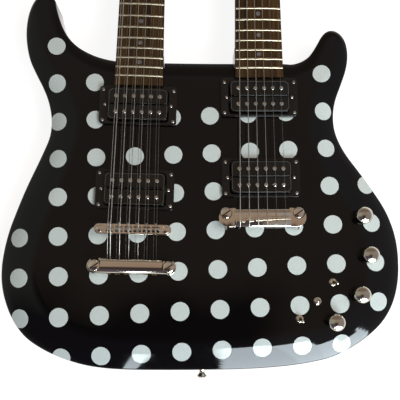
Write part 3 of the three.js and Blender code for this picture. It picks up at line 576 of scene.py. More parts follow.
def rosewood():
    """Oiled open-grained wood: streaks along the board, pores and a little shine."""
    look, shader = material("rosewood", (0.05, 0.028, 0.014), 0.55, ior=1.32)
    streaks = noise(look, 260, 4, 0.6, (1, 0.035, 1))
    fine = noise(look, 1500, 2, 0.5, (1, 0.02, 1))
    ramp = node(look, "ValToRGB", {"Fac": streaks * 0.7 + fine * 0.3})
    tones = ramp.color_ramp.elements
    for share, color in ((0.36, (0.011, 0.005, 0.0015)), (0.48, (0.034, 0.0155, 0.0032)),
                         (0.62, (0.075, 0.036, 0.0085))):
        tones.new(share).color = (*color, 1)
    for end in (0, -1):
        tones.remove(tones[end])
    give(shader, {"Base Color": ramp.outputs["Color"], "Roughness": ranged(fine, 0.45, 0.68)})
    bump(shader, fine, 0.12, 0.6)
    return look


def metal(name, color, roughness, spread_of=0.05, scale=120.0, scratch=None):
    """Metal whose shine varies with handling, scratched along one way where scratch is given."""
    look, shader = material(name, color, roughness, metallic=1.0)
    smudge, cloud = noise(look, scale, 4, 0.6), noise(look, scale / 3, 3)
    give(shader, {
        "Roughness": ranged(smudge, roughness - spread_of / 2, roughness + spread_of),
        "Base Color": mixed(ranged(cloud), [c * 0.92 for c in color], color)})
    if scratch:
        bump(shader, noise(look, 1200, 2, 0.5, scratch), 0.02, 0.5)
    return look


def plastic(name, color, roughness, scale=300.0, texture=0.0):
    """Plastic with a faint paler cloud, and textured where texture is given."""
    look, shader = material(name, color, roughness, ior=1.44)
    smudge, cloud = noise(look, scale, 4), noise(look, scale / 4, 3)
    give(shader, {
        "Roughness": ranged(smudge, roughness * 0.7, roughness * 1.4),
        "Base Color": mixed(ranged(cloud), color, [min(1.0, c * 1.5 + 0.001) for c in color])})
    if texture:
        bump(shader, noise(look, 2200, 2), texture, 0.6)
    return look


def wound_steel():
    """Round-wound string: fine windings across the string's length, with painted shade in their
    grooves.
    """
    look, shader = material("wound_string", (0.55, 0.51, 0.46), 0.32, metallic=1.0)
    waves = node(look, "TexWave", {"Vector": object_coordinates(look), "Scale": 620.0},
                 wave_type="BANDS", bands_direction="Y").outputs["Fac"]
    bump(shader, waves, 0.09, 0.8)
    # The grooves between windings take the darker colour: painted shade
    give(shader, {"Base Color": mixed(waves, (0.36, 0.335, 0.3), (0.76, 0.72, 0.66))})
    return look


def pearl():
    look, shader = material("pearl_inlay", (0.12, 0.11, 0.11), 0.25)
    cloud = ranged(noise(look, 350, 4, 0.6))
    give(shader, {"Base Color": mixed(cloud, (0.07, 0.06, 0.07), (0.2, 0.18, 0.17))})
    return look


BODY_LACQUER = lacquer("body_lacquer", True)
NECK_LACQUER = lacquer("neck_lacquer", False)
ROSEWOOD = rosewood()
CHROME = metal("chrome", (0.74, 0.68, 0.58), 0.045, 0.02)
KNOB_CHROME = metal("knob_chrome", (0.6, 0.55, 0.46), 0.045, 0.02)
SCREW_METAL = metal("screw_nickel", (0.66, 0.63, 0.58), 0.2, 0.1, 400)
SADDLE_METAL = metal("saddle_nickel", (0.6, 0.53, 0.45), 0.34, 0.1, 300)
SLUG_METAL = metal("slug_nickel", (0.55, 0.5, 0.43), 0.36, 0.1, 500)
FRET_METAL = metal("fret_nickel_silver", (0.58, 0.5, 0.36), 0.38, 0.1, 300, (1, 0.05, 1))
PLAIN_STEEL = metal("plain_string", (0.3, 0.285, 0.265), 0.26, 0.08, 200)
WOUND_STEEL = wound_steel()
ZINC = metal("zinc_case", (0.45, 0.45, 0.44), 0.4, 0.15)
RING_SCREW_METAL = metal("ring_screw_nickel", (0.42, 0.38, 0.33), 0.4, 0.1, 400)
# Brass darkened by painted shade, for the ball ends inside the tailpiece's holes
SHADED_BRASS = metal("brass_painted_shade", (0.3, 0.2, 0.08), 0.4, 0.1)
RING_PLASTIC = plastic("ring_plastic", (0.003, 0.0027, 0.0025), 0.08)
BOBBIN_PLASTIC = plastic("bobbin_plastic", (0.003, 0.0027, 0.0022), 0.12)
TAPE = plastic("coil_tape", (0.006, 0.006, 0.006), 0.55, 500, 0.05)
COVER_PLASTIC = plastic("cover_plastic", (0.008, 0.008, 0.008), 0.42, 300, 0.03)
BONE = plastic("bone_nut", (0.62, 0.57, 0.46), 0.35)
# Pale colour for the thin outline round the pickups' tops: painted highlight
PAINTED_EDGE_LIGHT = plastic("painted_edge_highlight", (0.075, 0.07, 0.062), 0.3)
# Near black laid in the saddle pockets and stud slots: painted shade
PAINTED_SHADE = plastic("painted_recess_shade", (0.004, 0.004, 0.004), 0.7)
PEARL = pearl()


# Screws: a domed head with a cross or a slot, drawn with its seat at height 0
def screw_head(radius, height, slot_width, cross=True, steps=20):
    dome = [(0, -height * 0.4), (radius, -height * 0.4), (radius, height * 0.3),
            (radius * 0.86, height * 0.7), (radius * 0.55, height * 0.93), (0, height)]
    reach = radius * 1.25
    slots = [box(radius * 2.6, slot_width, height, z=height * 0.35)]
    if cross:
        slots = [box(*size, height, z=height * 0.3)
                 for size in ((reach, slot_width), (slot_width, reach))]
    return cut(lathe(dome, steps), *slots)


CROSS_SCREW = screw_head(1.0, 0.5, 0.26)
SLOT_SCREW = screw_head(1.0, 0.42, 0.26, cross=False)
FLAT_SCREW = cut(lathe([(0, -0.2), (1, -0.2), (1, 0.2), (0.94, 0.25), (0, 0.27)], 32),
                 box(2.6, 0.24, 0.6, z=0.1))


def screws(name, template, radius, places, at=Matrix(), look=SCREW_METAL, turns=0.0):
    """Heads of one kind at the given places, each turned a little further than the last."""
    heads = []
    for k, (x, y, z) in enumerate(places):
        place = shift(x, y, z) @ turn("Z", 37 * k + turns) @ Matrix.Scale(radius, 4)
        heads.append(moved(template, place))
    piece(name, heads, look, at=at, sharp=40)


def hardware(name, shape, at, stands_for=()):
    piece(name, shape, CHROME, at, stands_for=stands_for, sharp=40)


# Body
def body_outline():
    """CAD's outline in order, as rows of x, y, share of the carve, and the carve's inner edge."""
    mesh = NODES["guitar_body"].data
    points = np.array([v.co for v in mesh.vertices]) / MM
    edge_row = {v.index for v in mesh.vertices if abs(v.co.z / MM - BACK_ROUND) < 0.01}
    name = {i: (round(points[i, 0], 1), round(points[i, 1], 1)) for i in edge_row}
    where = {name[i]: points[i] for i in edge_row}
    links = {key: set() for key in where}
    for edge in mesh.edges:
        a, b = edge.vertices
        if a in edge_row and b in edge_row and name[a] != name[b]:
            links[name[a]].add(name[b])
            links[name[b]].add(name[a])
    loop = [min(links)]
    while True:
        onward = [k for k in sorted(links[loop[-1]]) if k not in loop]
        if not onward:
            break
        loop.append(onward[0])
    ring = np.array([where[key][:2] for key in loop])
    x, y = ring.T
    if np.sum(x * np.roll(y, -1) - np.roll(x, -1) * y) < 0:
        ring = ring[::-1]
    near = np.linalg.norm(points[None, :, :2] - ring[:, None, :], axis=2) < 0.05
    tops = np.where(near, points[None, :, 2], 0).max(axis=1)
    share = (BODY_THICKNESS - RIM_ROUND - tops) / CARVE_DROP
    whole = np.flatnonzero(share < 1.01)
    share = np.interp(np.arange(len(share)), whole, share[whole])
    along = np.roll(ring, -1, axis=0) - np.roll(ring, 1, axis=0)
    along /= np.linalg.norm(along, axis=1)[:, None]
    inward = np.stack([-along[:, 1], along[:, 0]], axis=1)
    return np.hstack([ring, share[:, None], ring + inward * CARVE_BAND * share[:, None]])


def smooth_loop(rows, steps):
    """A closed loop of rows with smoothly placed rows between them."""
    a, b, c, d = (np.roll(rows, k, axis=0) for k in (1, 0, -1, -2))
    parts = [0.5 * (2 * b + (c - a) * t + (2 * a - 5 * b + 4 * c - d) * t ** 2
                    + (3 * b - a - 3 * c + d) * t ** 3) for t in np.arange(steps) / steps]
    return np.stack(parts, axis=1).reshape(-1, rows.shape[1])


def body_blank():
    rows = smooth_loop(body_outline(), 4)
    outer, share, inner = rows[:, :2], rows[:, 2:3], rows[:, 3:]
    outer = np.clip(outer, *np.array(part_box("guitar_body"))[:, :2] / MM)
    band = CARVE_BAND * share
    inward = (inner - outer) / band
    rim = BODY_THICKNESS - CARVE_DROP * share
    levels = rounding(BACK_ROUND, 6)
    levels += [(by, rim - down) for down, by in rounding(RIM_ROUND, 5, 60)]
    first_inset, first_height = levels[-1]
    steps = 22
    for k in range(1, steps + 1):
        t = k / steps
        levels.append((first_inset + (band - first_inset) * t,
                       first_height + (BODY_THICKNESS - first_height) * (1 - (1 - t) ** 2)))
    rings = [np.hstack([outer + inward * by, up + 0 * share]).tolist() for by, up in levels]
    return loft(rings)


def control_outline(margin):
    """An outline round the controls, at a distance from their middles."""
    points = [Vector((x + margin * cos(a), y + margin * sin(a)))
              for x, y in CONTROLS for a in circle(48)]
    return [points[i] for i in convex_hull_2d(points)]


def middle_of(node_name):
    low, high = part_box(node_name)
    return (low + high) / 2 / MM


KNOBS = [middle_of(f"control_knob_{i}") for i in range(1, 5)]
TOGGLES = [middle_of(f"toggle_switch_{i}") for i in range(1, 4)]
CONTROLS = [p.to_2d() for p in KNOBS + TOGGLES]
PICKUPS = {
    (tag, name): (STATION[tag].inverted() @ middle_of(f"pickup_ring_{tag}_{name}")).y
    for tag in SIDES
    for name in ("neck", "bridge")
}


def build_body():
    """The blank with neck pockets, pickup and control cavities and the socket's bore."""
    over = 5.0
    length, height = POCKET_LENGTH + GAP + over, HEEL_DEPTH + over
    block = box(BOARD_END_WIDTH + 2 * GAP, length, height, y=BOARD_END - GAP + length / 2,
                z=NECK_FACE - HEEL_DEPTH - GAP)
    main, second = [moved(block, NECK[tag]) for tag in SIDES], []
    cavity_size = (PICKUP_LENGTH + 2 * CAVITY_MARGIN, PICKUP_WIDTH + 2 * CAVITY_MARGIN)
    for (tag, _), y in PICKUPS.items():
        for tools, size in ((main, cavity_size), (second, EAR_CAVITY)):
            cavity = box(*size, CAVITY_DEPTH + over, y=y, z=-CAVITY_DEPTH)
            tools.append(moved(cavity, STATION[tag]))
    main.append(slab(control_outline(CONTROL_MARGIN), -over, CAVITY_CEILING))
    second.append(slab(control_outline(CONTROL_MARGIN + COVER_LEDGE), -over,
                       COVER_THICKNESS + GAP))
    socket = middle_of("output_jack")
    reach = socket.x - max(p.x for p in KNOBS)
    main.append(moved(rod(6.5, reach, z=-reach + 20), shift(*socket) @ TO_X))
    shape = cut(body_blank(), main, second)
    piece("body_shell", shape, BODY_LACQUER, stands_for=["guitar_body"], sharp=30)


# Necks
def board_half_width(y):
    share = (y - BOARD_END) / (SCALE_LENGTH - BOARD_END)
    return (BOARD_END_WIDTH + (NUT_WIDTH - BOARD_END_WIDTH) * share) / 2


def board_surface(x):
    return BOARD_TOP - x * x / (2 * BOARD_RADIUS)


def fret_at(number):
    return SCALE_LENGTH * 2 ** (-number / 12)


def fretboard(tag):
    rings = []
    for y in np.linspace(BOARD_END, SCALE_LENGTH - GAP, 12):
        half = board_half_width(y)
        edge = board_surface(half) - 0.5
        section = [(-half, NECK_FACE), (half, NECK_FACE), (half, edge)]
        section += [(x, board_surface(x)) for x in np.linspace(half - 0.5, 0.5 - half, 15)]
        rings.append([(x, y, z) for x, z in (*section, (-half, edge))])
    piece(f"fretboard_{tag}_wood", loft(rings), ROSEWOOD, NECK[tag],
          stands_for=[f"fretboard_{tag}"])


def frets(tag):
    parts = []
    half = FRET_WIDTH / 2
    for number in range(1, FRET_COUNT + 1):
        y = fret_at(number)
        reach = board_half_width(y) - 0.4
        rings = []
        for k, x in enumerate(np.linspace(reach, -reach, 13)):
            drop = 0.35 if k in (0, 12) else 0.0
            top = board_surface(x)
            foot = top + 0.15
            profile = [(-half, top - 0.4), (-half, foot)]
            profile += [(cos(a) * half, foot + sin(a) * (FRET_HEIGHT - 0.15 - drop))
                        for a in map(radians, (150, 120, 90, 60, 30))]
            profile += [(half, foot), (half, top - 0.4)]
            rings.append([(x, y + across, z) for across, z in profile])
        parts.append(loft(rings))
    piece(f"frets_{tag}", parts, FRET_METAL, at=NECK[tag], sharp=50)


def inlays(tag):
    """Round inlays on the board and on its bass edge, doubled at the octave."""
    parts = []
    for number in (3, 5, 7, 9, 12, 15, 17, 19, 21):
        y = (fret_at(number) + fret_at(number - 1)) / 2
        edge = -board_half_width(y)
        for side in ((-1, 1) if number == 12 else (0,)):
            x = 11 * side
            parts.append(rod(2.6, 0.6, x, y, board_surface(x) - 0.56, 28))
            place = shift(edge - 0.02, y + 3 * side, BOARD_TOP - 3.6) @ TO_X
            parts.append(moved(rod(0.9, 0.5, steps=16), place))
    piece(f"inlays_{tag}", parts, PEARL, at=NECK[tag])


def neck_depth(y):
    """Depth of the neck behind the board, and how far its section is squared towards the heel."""
    share = max((y - HEEL_END) / (SCALE_LENGTH - HEEL_END), 0)
    depth = NECK_DEPTH_AT_HEEL + (NECK_DEPTH_AT_NUT - NECK_DEPTH_AT_HEEL) * share
    heel = min(max((HEEL_END - y) / HEEL_LENGTH, 0), 1)
    heel = heel * heel * (3 - 2 * heel)
    return depth + (HEEL_DEPTH - GAP - depth) * heel, heel


def neck_section(y, depth, heel=0.0, sink=0.0):
    half = board_half_width(y)
    top = NECK_FACE - 0.02 - sink
    points = [(-half, y, top), (half, y, top)]
    power = 2 / (2 + 1.6 * heel)
    for k in range(25):
        a = pi * (k / 24 - 0.5)
        x = -half * copysign(abs(sin(a)) ** power, sin(a))
        fall = SHOULDER_DEPTH + (depth - SHOULDER_DEPTH) * cos(a) ** power
        points.append((x, y, top - fall))
    return points


def neck(tag):
    rings = [neck_section(y, *neck_depth(y)) for y in np.linspace(POCKET_END - GAP, HEEL_END, 13)]
    for y in np.linspace(HEEL_END, NUT_END, 9)[1:]:
        rings.append(neck_section(y, *neck_depth(y), sink=0.0 if y < SCALE_LENGTH else 0.3))
    for share in (k / 5 for k in range(1, 6)):
        past = HEAD_BLEND * share
        depth = NECK_DEPTH_AT_NUT + (HEAD_THICKNESS - 0.8 - NECK_DEPTH_AT_NUT) * share
        sink = GAP + past * tan(radians(HEAD_TILT)) + 0.2
        rings.append(neck_section(NUT_END + past, depth, 0.25 * share, sink))
    tenon = box(BOARD_END_WIDTH, POCKET_LENGTH, HEEL_DEPTH, y=BOARD_END + POCKET_LENGTH / 2,
                z=NECK_FACE - 0.02 - HEEL_DEPTH)
    piece(f"neck_shaft_{tag}", [loft(rings), tenon], NECK_LACQUER, NECK[tag],
          stands_for=[f"neck_{tag}"], sharp=40)


HEAD_LENGTHS = {"12": 186.0, "6": 142.0}
HEAD_SHARES = [(0.665, 0), (0.75, 0.05), (0.93, 0.11), (1, 0.2), (1, 0.86), (0.9, 0.95),
               (0.55, 0.99), (0, 1)]


def headstock(tag):
    right = [(x * HEAD_HALF_WIDTH, y * HEAD_LENGTHS[tag]) for x, y in HEAD_SHARES]
    outline = right + [(-x, y) for x, y in right[-2::-1]]
    shape = slab(soften(outline, 9.0, 5), -HEAD_THICKNESS, 0, 1.2, 1.6)
    piece(f"headstock_{tag}", shape, NECK_LACQUER, HEAD[tag])


def nut(tag, string_places):
    """Nut with a notch under each string."""
    half, top = NUT_WIDTH / 2, NECK_FACE + NUT_HEIGHT
    outline = [(-half, NECK_FACE), (half, NECK_FACE), (half, top - 0.8), (half - 0.8, top)]
    for x, radius in sorted(string_places, reverse=True):
        floor = STRING_AT_NUT - radius
        side = floor + radius * 0.4
        outline += [(x + radius, top), (x + radius, side), (x, floor - 0.02), (x - radius, side),
                    (x - radius, top)]
    outline += [(0.8 - half, top), (-half, top - 0.8)]
    shape = slab([(-x, z) for x, z in outline], 0, NUT_LENGTH - GAP, 0.25, 0.25, 2)
    piece(f"nut_{tag}", shape, BONE, at=NECK[tag] @ shift(0, SCALE_LENGTH + GAP / 2) @ ALONG_Y)


def truss_cover(tag):
    length, half = 34.0, 10.0
    right = [(half, 0), (half, 10), (5.5, 24), (4.4, length)]
    outline = right + [(-x, y) for x, y in right[::-1]]
    shape = slab(soften(outline[-1:] + outline[:-1], 4.0, 4), GAP, 2.2, 0.5)
    place = HEAD[tag] @ shift(0, NUT_LENGTH)
    piece(f"truss_cover_{tag}_plate", shape, COVER_PLASTIC, place,
          stands_for=[f"truss_rod_cover_{tag}"])
    screws(f"truss_cover_{tag}_screws", CROSS_SCREW, 1.6,
           [(-6.6, 3.6, 2.3), (6.6, 3.6, 2.3), (0, length - 4, 2.3)], place)


# Tuning machines
POSTS = {
    "12": [(side, 30.0 + 26.0 * i) for side in (-1, 1) for i in range(6)],
    "6": [(side, 32.0 + 38.0 * i) for side in (-1, 1) for i in range(3)],
}


def post_template():
    top = BUSHING_HEIGHT / 2 + POST_HEIGHT
    r = POST_RADIUS
    post = lathe([(0, 0), (r, 0), (r, 3.2), (r * 0.82, 4.4), (r * 0.78, 6.4), (r * 0.88, 8.4),
                  (r, 9.6), (r, top - 0.5), (r - 0.5, top), (0, top)], 28)
    hole = moved(rod(0.75, 12, z=-6, steps=12), shift(z=7.4) @ TO_X)
    slot = box(0.9, 12, 2.0, z=top - 1.1)
    return cut(post, hole, slot)


def bushing_template():
    washer = disc(BUSHING_RADIUS + 0.9, 0.05, 0.6, (0.3, 0.15))
    return [washer, hex_nut(BUSHING_RADIUS, 0.6, BUSHING_HEIGHT + 0.6)]


def housing_template():
    """Die-cast gear housing under the head, drawn for the treble side."""
    depth = HOUSING_DEPTH
    inner, outer = -6.0, HEAD_HALF_WIDTH - POST_OFFSET + 0.1
    outline = rounded_rectangle(outer - inner, HOUSING_LENGTH, 3.2)
    case = moved(slab(outline, 0.3 - depth, -0.05, 0.0, 1.6, 4), shift((inner + outer) / 2))
    cap = lathe([(0, -depth), (4.2, -depth), (4.4, 0.15 - depth), (4.4, 2 - depth), (0, 2 - depth)],
                28)
    sleeve = moved(disc(3.2, 0, 3.0, (0.6, 0.6), 24), shift(outer - 2.9, 0, -depth / 2) @ TO_X)
    return [case, cap, sleeve]


def button_shape():
    """Tuner button and its shaft, drawn along X with the housing's face at 0."""
    half = BUTTON_WIDTH / 2
    start, end = BUTTON_STANDOFF, BUTTON_STANDOFF + BUTTON_REACH
    right = [(start, 2.6), (start + 2.2, 3.6), (start + 5, half), (end - 2.5, half),
             (end, half * 0.55)]
    outline = [(x, -y) for x, y in right] + right[::-1]
    grip = slab(soften(outline, 2.4, 4), -BUTTON_THICKNESS / 2, BUTTON_THICKNESS / 2, 1.6, 1.6, 4)
    shaft = moved(lathe([(0, 0.1), (1.9, 0.1), (1.9, 2.6), (2.5, 3.2), (2.5, start + 0.8),
                         (0, start + 0.8)], 20), TO_X)
    tip = moved(disc(1.5, 0, 0.4, (0.4, 0.15), 16), shift(end - 0.45) @ TO_X)
    return [grip, shaft, tip]


def tuners(tag):
    kinds = {"posts": post_template(), "bushings": bushing_template(),
             "housings": housing_template()}
    made = {kind: [] for kind in kinds}
    for i, (side, y) in enumerate(POSTS[tag]):
        top = shift(side * POST_OFFSET, y)
        facing_out = turn("Z", 0 if side > 0 else 180)
        places = {"posts": top @ turn("Z", 20 * i), "bushings": top @ turn("Z", 11 * i),
                  "housings": top @ shift(z=-HEAD_THICKNESS) @ facing_out}
        for kind, place in places.items():
            made[kind].append(moved(kinds[kind], place))
        name = f"tuner_button_{tag}_{i + 1}"
        knob_at = HEAD[tag] @ shift(side * (HEAD_HALF_WIDTH + GAP), y,
                                    -HEAD_THICKNESS - HOUSING_DEPTH / 2) @ facing_out
        piece(f"{name}_grip", button_shape(), CHROME, knob_at, name, [name])
    for kind, shapes in made.items():
        piece(f"tuner_{kind}_{tag}", shapes, CHROME, at=HEAD[tag])
    screws(f"tuner_screws_{tag}", CROSS_SCREW, 1.5,
           [(side * 16.6, y, HEAD_THICKNESS + HOUSING_DEPTH) for side, y in POSTS[tag]],
           HEAD[tag] @ turn("Y", 180))


# Pickups
def pickup_ring(tag, name, y):
    place = STATION[tag] @ shift(0, y)
    outer = rounded_rectangle(RING_LENGTH, RING_WIDTH, RING_CORNER)
    opening = rounded_rectangle(PICKUP_LENGTH + 1.2, PICKUP_WIDTH + 1.2, 3.6)
    low, high = 0.02, RING_HEIGHT
    rings = [level(outer, low)]
    rings += [level(outer, high - down, by) for down, by in rounding(0.5, 4)]
    rings += [level(opening, high - down, -by) for by, down in rounding(0.4, 2)]
    rings.append(level(opening, low))
    piece(f"ring_{tag}_{name}", loft(rings, closed=True), RING_PLASTIC, place,
          stands_for=[f"pickup_ring_{tag}_{name}"], sharp=40)
    across, along = RING_SCREW_SPAN
    corners = [(x, c, high) for x in spread(2, across) for c in spread(2, along)]
    screws(f"ring_screws_{tag}_{name}", CROSS_SCREW, 1.9, corners, place, RING_SCREW_METAL)
    sides = [(x, 0, high) for x in spread(2, HEIGHT_SCREW_SPAN)]
    screws(f"height_screws_{tag}_{name}", CROSS_SCREW, 1.7, sides, place, turns=20)


def pickup(tag, name, y, screw_row):
    """Open humbucking pickup: two bobbins, one row of slugs and one of slotted screws."""
    place = STATION[tag] @ shift(0, y)
    width = (PICKUP_WIDTH - BOBBIN_GAP) / 2
    flange_low = PICKUP_PROUD - 1.8
    outline = rounded_rectangle(PICKUP_LENGTH, width, 3.5)
    flange = slab(outline, flange_low, PICKUP_PROUD, 0.45, 0.2)
    foot = slab(outline, -2.0, -0.6)
    coil = slab(rounded_rectangle(PICKUP_LENGTH - 2.4, width - 2.0, 6.0), -0.6, flange_low)
    ways = [shift(0, c) for c in spread(2, width + BOBBIN_GAP)]
    bobbins = [moved(shape, way) for way in ways for shape in (flange, foot)]
    piece(f"bobbins_{tag}_{name}", bobbins, BOBBIN_PLASTIC, place,
          stands_for=[f"pickup_{tag}_{name}"])
    coils = [moved(coil, way) for way in ways]
    piece(f"coils_{tag}_{name}", coils, TAPE, place)
    # A thin pale strip round the bobbins' tops: a painted highlight of their edge line
    edge = rounded_rectangle(PICKUP_LENGTH - 1.8, PICKUP_WIDTH - 1.6, 5.0, 10)
    rings = [level(edge, PICKUP_PROUD + up, by)
             for by, up in ((0, 0), (0, 0.2), (0.35, 0.2), (0.35, 0))]
    piece(f"film_edge_{tag}_{name}", loft(rings, closed=True), PAINTED_EDGE_LIGHT, at=place)
    plate = [box(*size, 1.2, z=-3.4) for size in ((PICKUP_LENGTH - 2, PICKUP_WIDTH - 2), (82, 11))]
    piece(f"pickup_plate_{tag}_{name}", plate, ZINC, at=place)
    row, slug = screw_row * POLE_ROWS / 2, disc(POLE_RADIUS, 0, 0.5, (0.25, 0.15), 24)
    slugs = [moved(slug, shift(x, -row, PICKUP_PROUD)) for x in spread(6, POLE_SPAN)]
    piece(f"slugs_{tag}_{name}", slugs, SLUG_METAL, at=place)
    heads = [(x, row, PICKUP_PROUD + 0.25) for x in spread(6, POLE_SPAN)]
    screws(f"pole_screws_{tag}_{name}", SLOT_SCREW, POLE_RADIUS, heads, place, turns=12)


# Strings
def saddle_x(course):
    return spread(6, STRING_SPAN_AT_BRIDGE)[course]


def nut_x(course):
    return spread(6, STRING_SPAN_AT_NUT)[course]


def saddle_y(course):
    return -SADDLE_STEP * (5 - course) + SADDLE_STEP * 2.5 - BRIDGE_BACK


def ridge_y(course):
    return (course - 2.5) * RIDGE_STEP * (1 if course < 3 else 0.6) - RIDGE_STEP


def paired_strings():
    """Course, side in the pair and place at the bridge of each of the twelve strings."""
    return [(course, which, saddle_x(course) + which * COURSE_GAP_AT_BRIDGE / 2)
            for course in range(6) for which in (-1, 1)]


def string_path(tag, anchor, break_point, at_nut, post, gauge):
    """From the bridge over the break point and the nut, then in turns round its post."""
    side, y = post
    inverse = STATION[tag].inverted()
    to_neck, to_head = inverse @ NECK[tag], inverse @ HEAD[tag]
    clear = POST_RADIUS * 0.86 + gauge / 2
    path = [Vector(p) for p in (*anchor, break_point)]
    start, end = (to_neck @ Vector((at_nut, SCALE_LENGTH + past, STRING_AT_NUT))
                  for past in (0, NUT_LENGTH))
    path += [path[-1].lerp(start, t) for t in (0.02, 0.5, 0.98)] + [start, end]
    turns = 2.25 if gauge > THINNEST_WOUND else 3.25
    count = int(turns * 16)
    for k in range(count + 1):
        turned = turns * k / count
        a = (pi if side > 0 else 0.0) - side * 2 * pi * turned
        height = BUSHING_HEIGHT + POST_HEIGHT / 3 - gauge * 1.05 * turned
        centre = Vector((side * POST_OFFSET, y, height))
        path.append(to_head @ (centre + clear * Vector((cos(a), sin(a), 0))))
    return path


def string_pieces(tag, strings):
    """A set's wound and plain strings and its nut. A string is what string_path asks for."""
    groups = {"wound": [], "plain": []}
    for string in strings:
        gauge = string[-1]
        kind, sides = ("wound", 10) if gauge > THINNEST_WOUND else ("plain", 8)
        groups[kind].append(tube(string_path(tag, *string), gauge / 2, sides))
    for kind, look, node_names in (("wound", WOUND_STEEL, [f"strings_{tag}"]),
                                   ("plain", PLAIN_STEEL, [])):
        piece(f"{kind}_strings_{tag}", groups[kind], look, STATION[tag],
              stands_for=node_names, sharp=60)
    nut(tag, [(at_nut, gauge / 2) for _, _, at_nut, _, gauge in strings])


def twelve_strings():
    front = TAIL_WIDTH / 2 - TAIL_BACK
    strings = []
    for course, which, x in paired_strings():
        order = 2 * (course if course < 3 else 5 - course) + (which > 0)
        gauge = (OCTAVE_GAUGES if which < 0 else GAUGES)[course]
        strings.append(([(x, front - 3, TAIL_HOLE - 0.6)], (x, saddle_y(course), SADDLE_HEIGHT),
                        nut_x(course) + which * COURSE_GAP_AT_NUT / 2,
                        POSTS["12"][(0 if course < 3 else 6) + order], gauge))
    string_pieces("12", strings)


def six_strings():
    strings = []
    for course, gauge in enumerate(GAUGES):
        x, y, clear = saddle_x(course), ridge_y(course), gauge / 2 + GAP * 0.5
        top, rear = WRAP_TOP + clear, -WRAP_BACK - clear
        anchor = [(x, along, up) for along, up in (
            (-WRAP_BACK + 2.5, WRAP_FLOOR + 0.4),
            (-WRAP_BACK - clear * 0.4, WRAP_FLOOR + WRAP_HEIGHT * 0.22),
            (rear, WRAP_FLOOR + WRAP_HEIGHT * 0.4),
            (rear + WRAP_HEIGHT * 0.1, top - RIDGE_HEIGHT * 1.5),
            (y - RIDGE_WIDTH / 2, top))]
        strings.append((anchor, (x, y + RIDGE_WIDTH / 2, top), nut_x(course),
                        POSTS["6"][course if course < 3 else 8 - course], gauge))
    string_pieces("6", strings)


# Twelve-string bridge
def tune_bridge():
    at = STATION["12"] @ shift(0, -BRIDGE_BACK)
    top = BRIDGE_FLOOR + BRIDGE_HEIGHT
    post_xs = spread(2, BRIDGE_POSTS)
    bar = slab(rounded_rectangle(BRIDGE_LENGTH, BRIDGE_WIDTH, BRIDGE_WIDTH / 2 - 0.4, 10),
               BRIDGE_FLOOR, top, 0.6, 0.8, 4)
    pockets = [box(SADDLE_WIDTH, 2 * POCKET_REAR, 6, saddle_x(c), 0, top - 4.2) for c in range(6)]
    holes = [rod(4.3, 8, x, 0, top - 1.2, 28) for x in post_xs]
    hardware("bridge_12_bar", cut(bar, [*pockets, *holes]), at, ["bridge_12"])
    # Thin dark sheets on the saddle pockets' floors: painted shade in the pockets
    pocket_shades = [box(SADDLE_WIDTH - 0.2, 2 * POCKET_REAR - 0.2, 0.1, saddle_x(c), 0, top - 4.15)
              for c in range(6)]
    piece("bridge_12_pocket_shade", pocket_shades, PAINTED_SHADE, at=at)
    for course in range(6):
        saddle(course, at, top)
    wheel = soft_disc(WHEEL_RADIUS, 1.5, 3.6, 0.4, 2)
    post = [wheel, rod(2.6, BRIDGE_FLOOR + 3, steps=20), disc(5.6, 0.02, 0.9, (0.4, 0.3))]
    piece("bridge_12_posts", [moved(post, shift(x)) for x in post_xs], CHROME, at=at)
    screws("bridge_12_post_heads", FLAT_SCREW, 3.9, [(x, 0, top - 0.9) for x in post_xs], at,
           CHROME, turns=-52)


def saddle(course, at, top):
    """A notched saddle at its own intonation place, and its screw on the neck's side."""
    x, y = saddle_x(course), saddle_y(course) + BRIDGE_BACK
    front, peak = POCKET_REAR - y - 0.3, SADDLE_HEIGHT - 0.3
    section = [(-SADDLE_REAR, top - 4.1), (front, top - 4.1), (front, top + 1.2), (0.9, peak),
               (-0.4, peak), (-SADDLE_REAR, peak - 0.1)]
    block = bar_along_x(soften(section, 0.3, 2), SADDLE_WIDTH - 0.5, 0.3)
    notches = [moved(rod(0.35, 8, steps=8), shift(notch_x, 4, peak + 0.12) @ turn("X", 90))
               for notch_x in spread(2, COURSE_GAP_AT_BRIDGE)]
    piece(f"saddle_{course + 1}", cut(block, notches), SADDLE_METAL, at=at @ shift(x, y), sharp=40)
    thread = rod(1.15, BRIDGE_WIDTH + 0.6, z=-BRIDGE_WIDTH / 2, steps=16)
    head = moved(SLOT_SCREW, shift(z=BRIDGE_WIDTH / 2 + 0.9) @ Matrix.Scale(1.75, 4))
    piece(f"intonation_screw_{course + 1}", [thread, head], SCREW_METAL,
          at=at @ shift(x, 0, top - 3.0) @ turn("X", -90), sharp=40)


# Tailpiece, wrap-around bridge and studs
def ear_cuts(forward, reach):
    """Slots in a bar's ends, open towards the necks, for the studs' necks and then their heads."""
    tools, xs = [], spread(2, STUD_SPACING)
    for radius, low, height, steps in (
            (STUD_NECK_RADIUS + GAP, -8, 30, 24),
            (STUD_HEAD_RADIUS + GAP, EAR_TOP, TAIL_HEIGHT, 40)):
        tools.append([rod(radius, height, x, forward, low, steps) for x in xs])
        tools.append([box(2 * radius, reach, height, x, forward + reach / 2, low) for x in xs])
    return tools


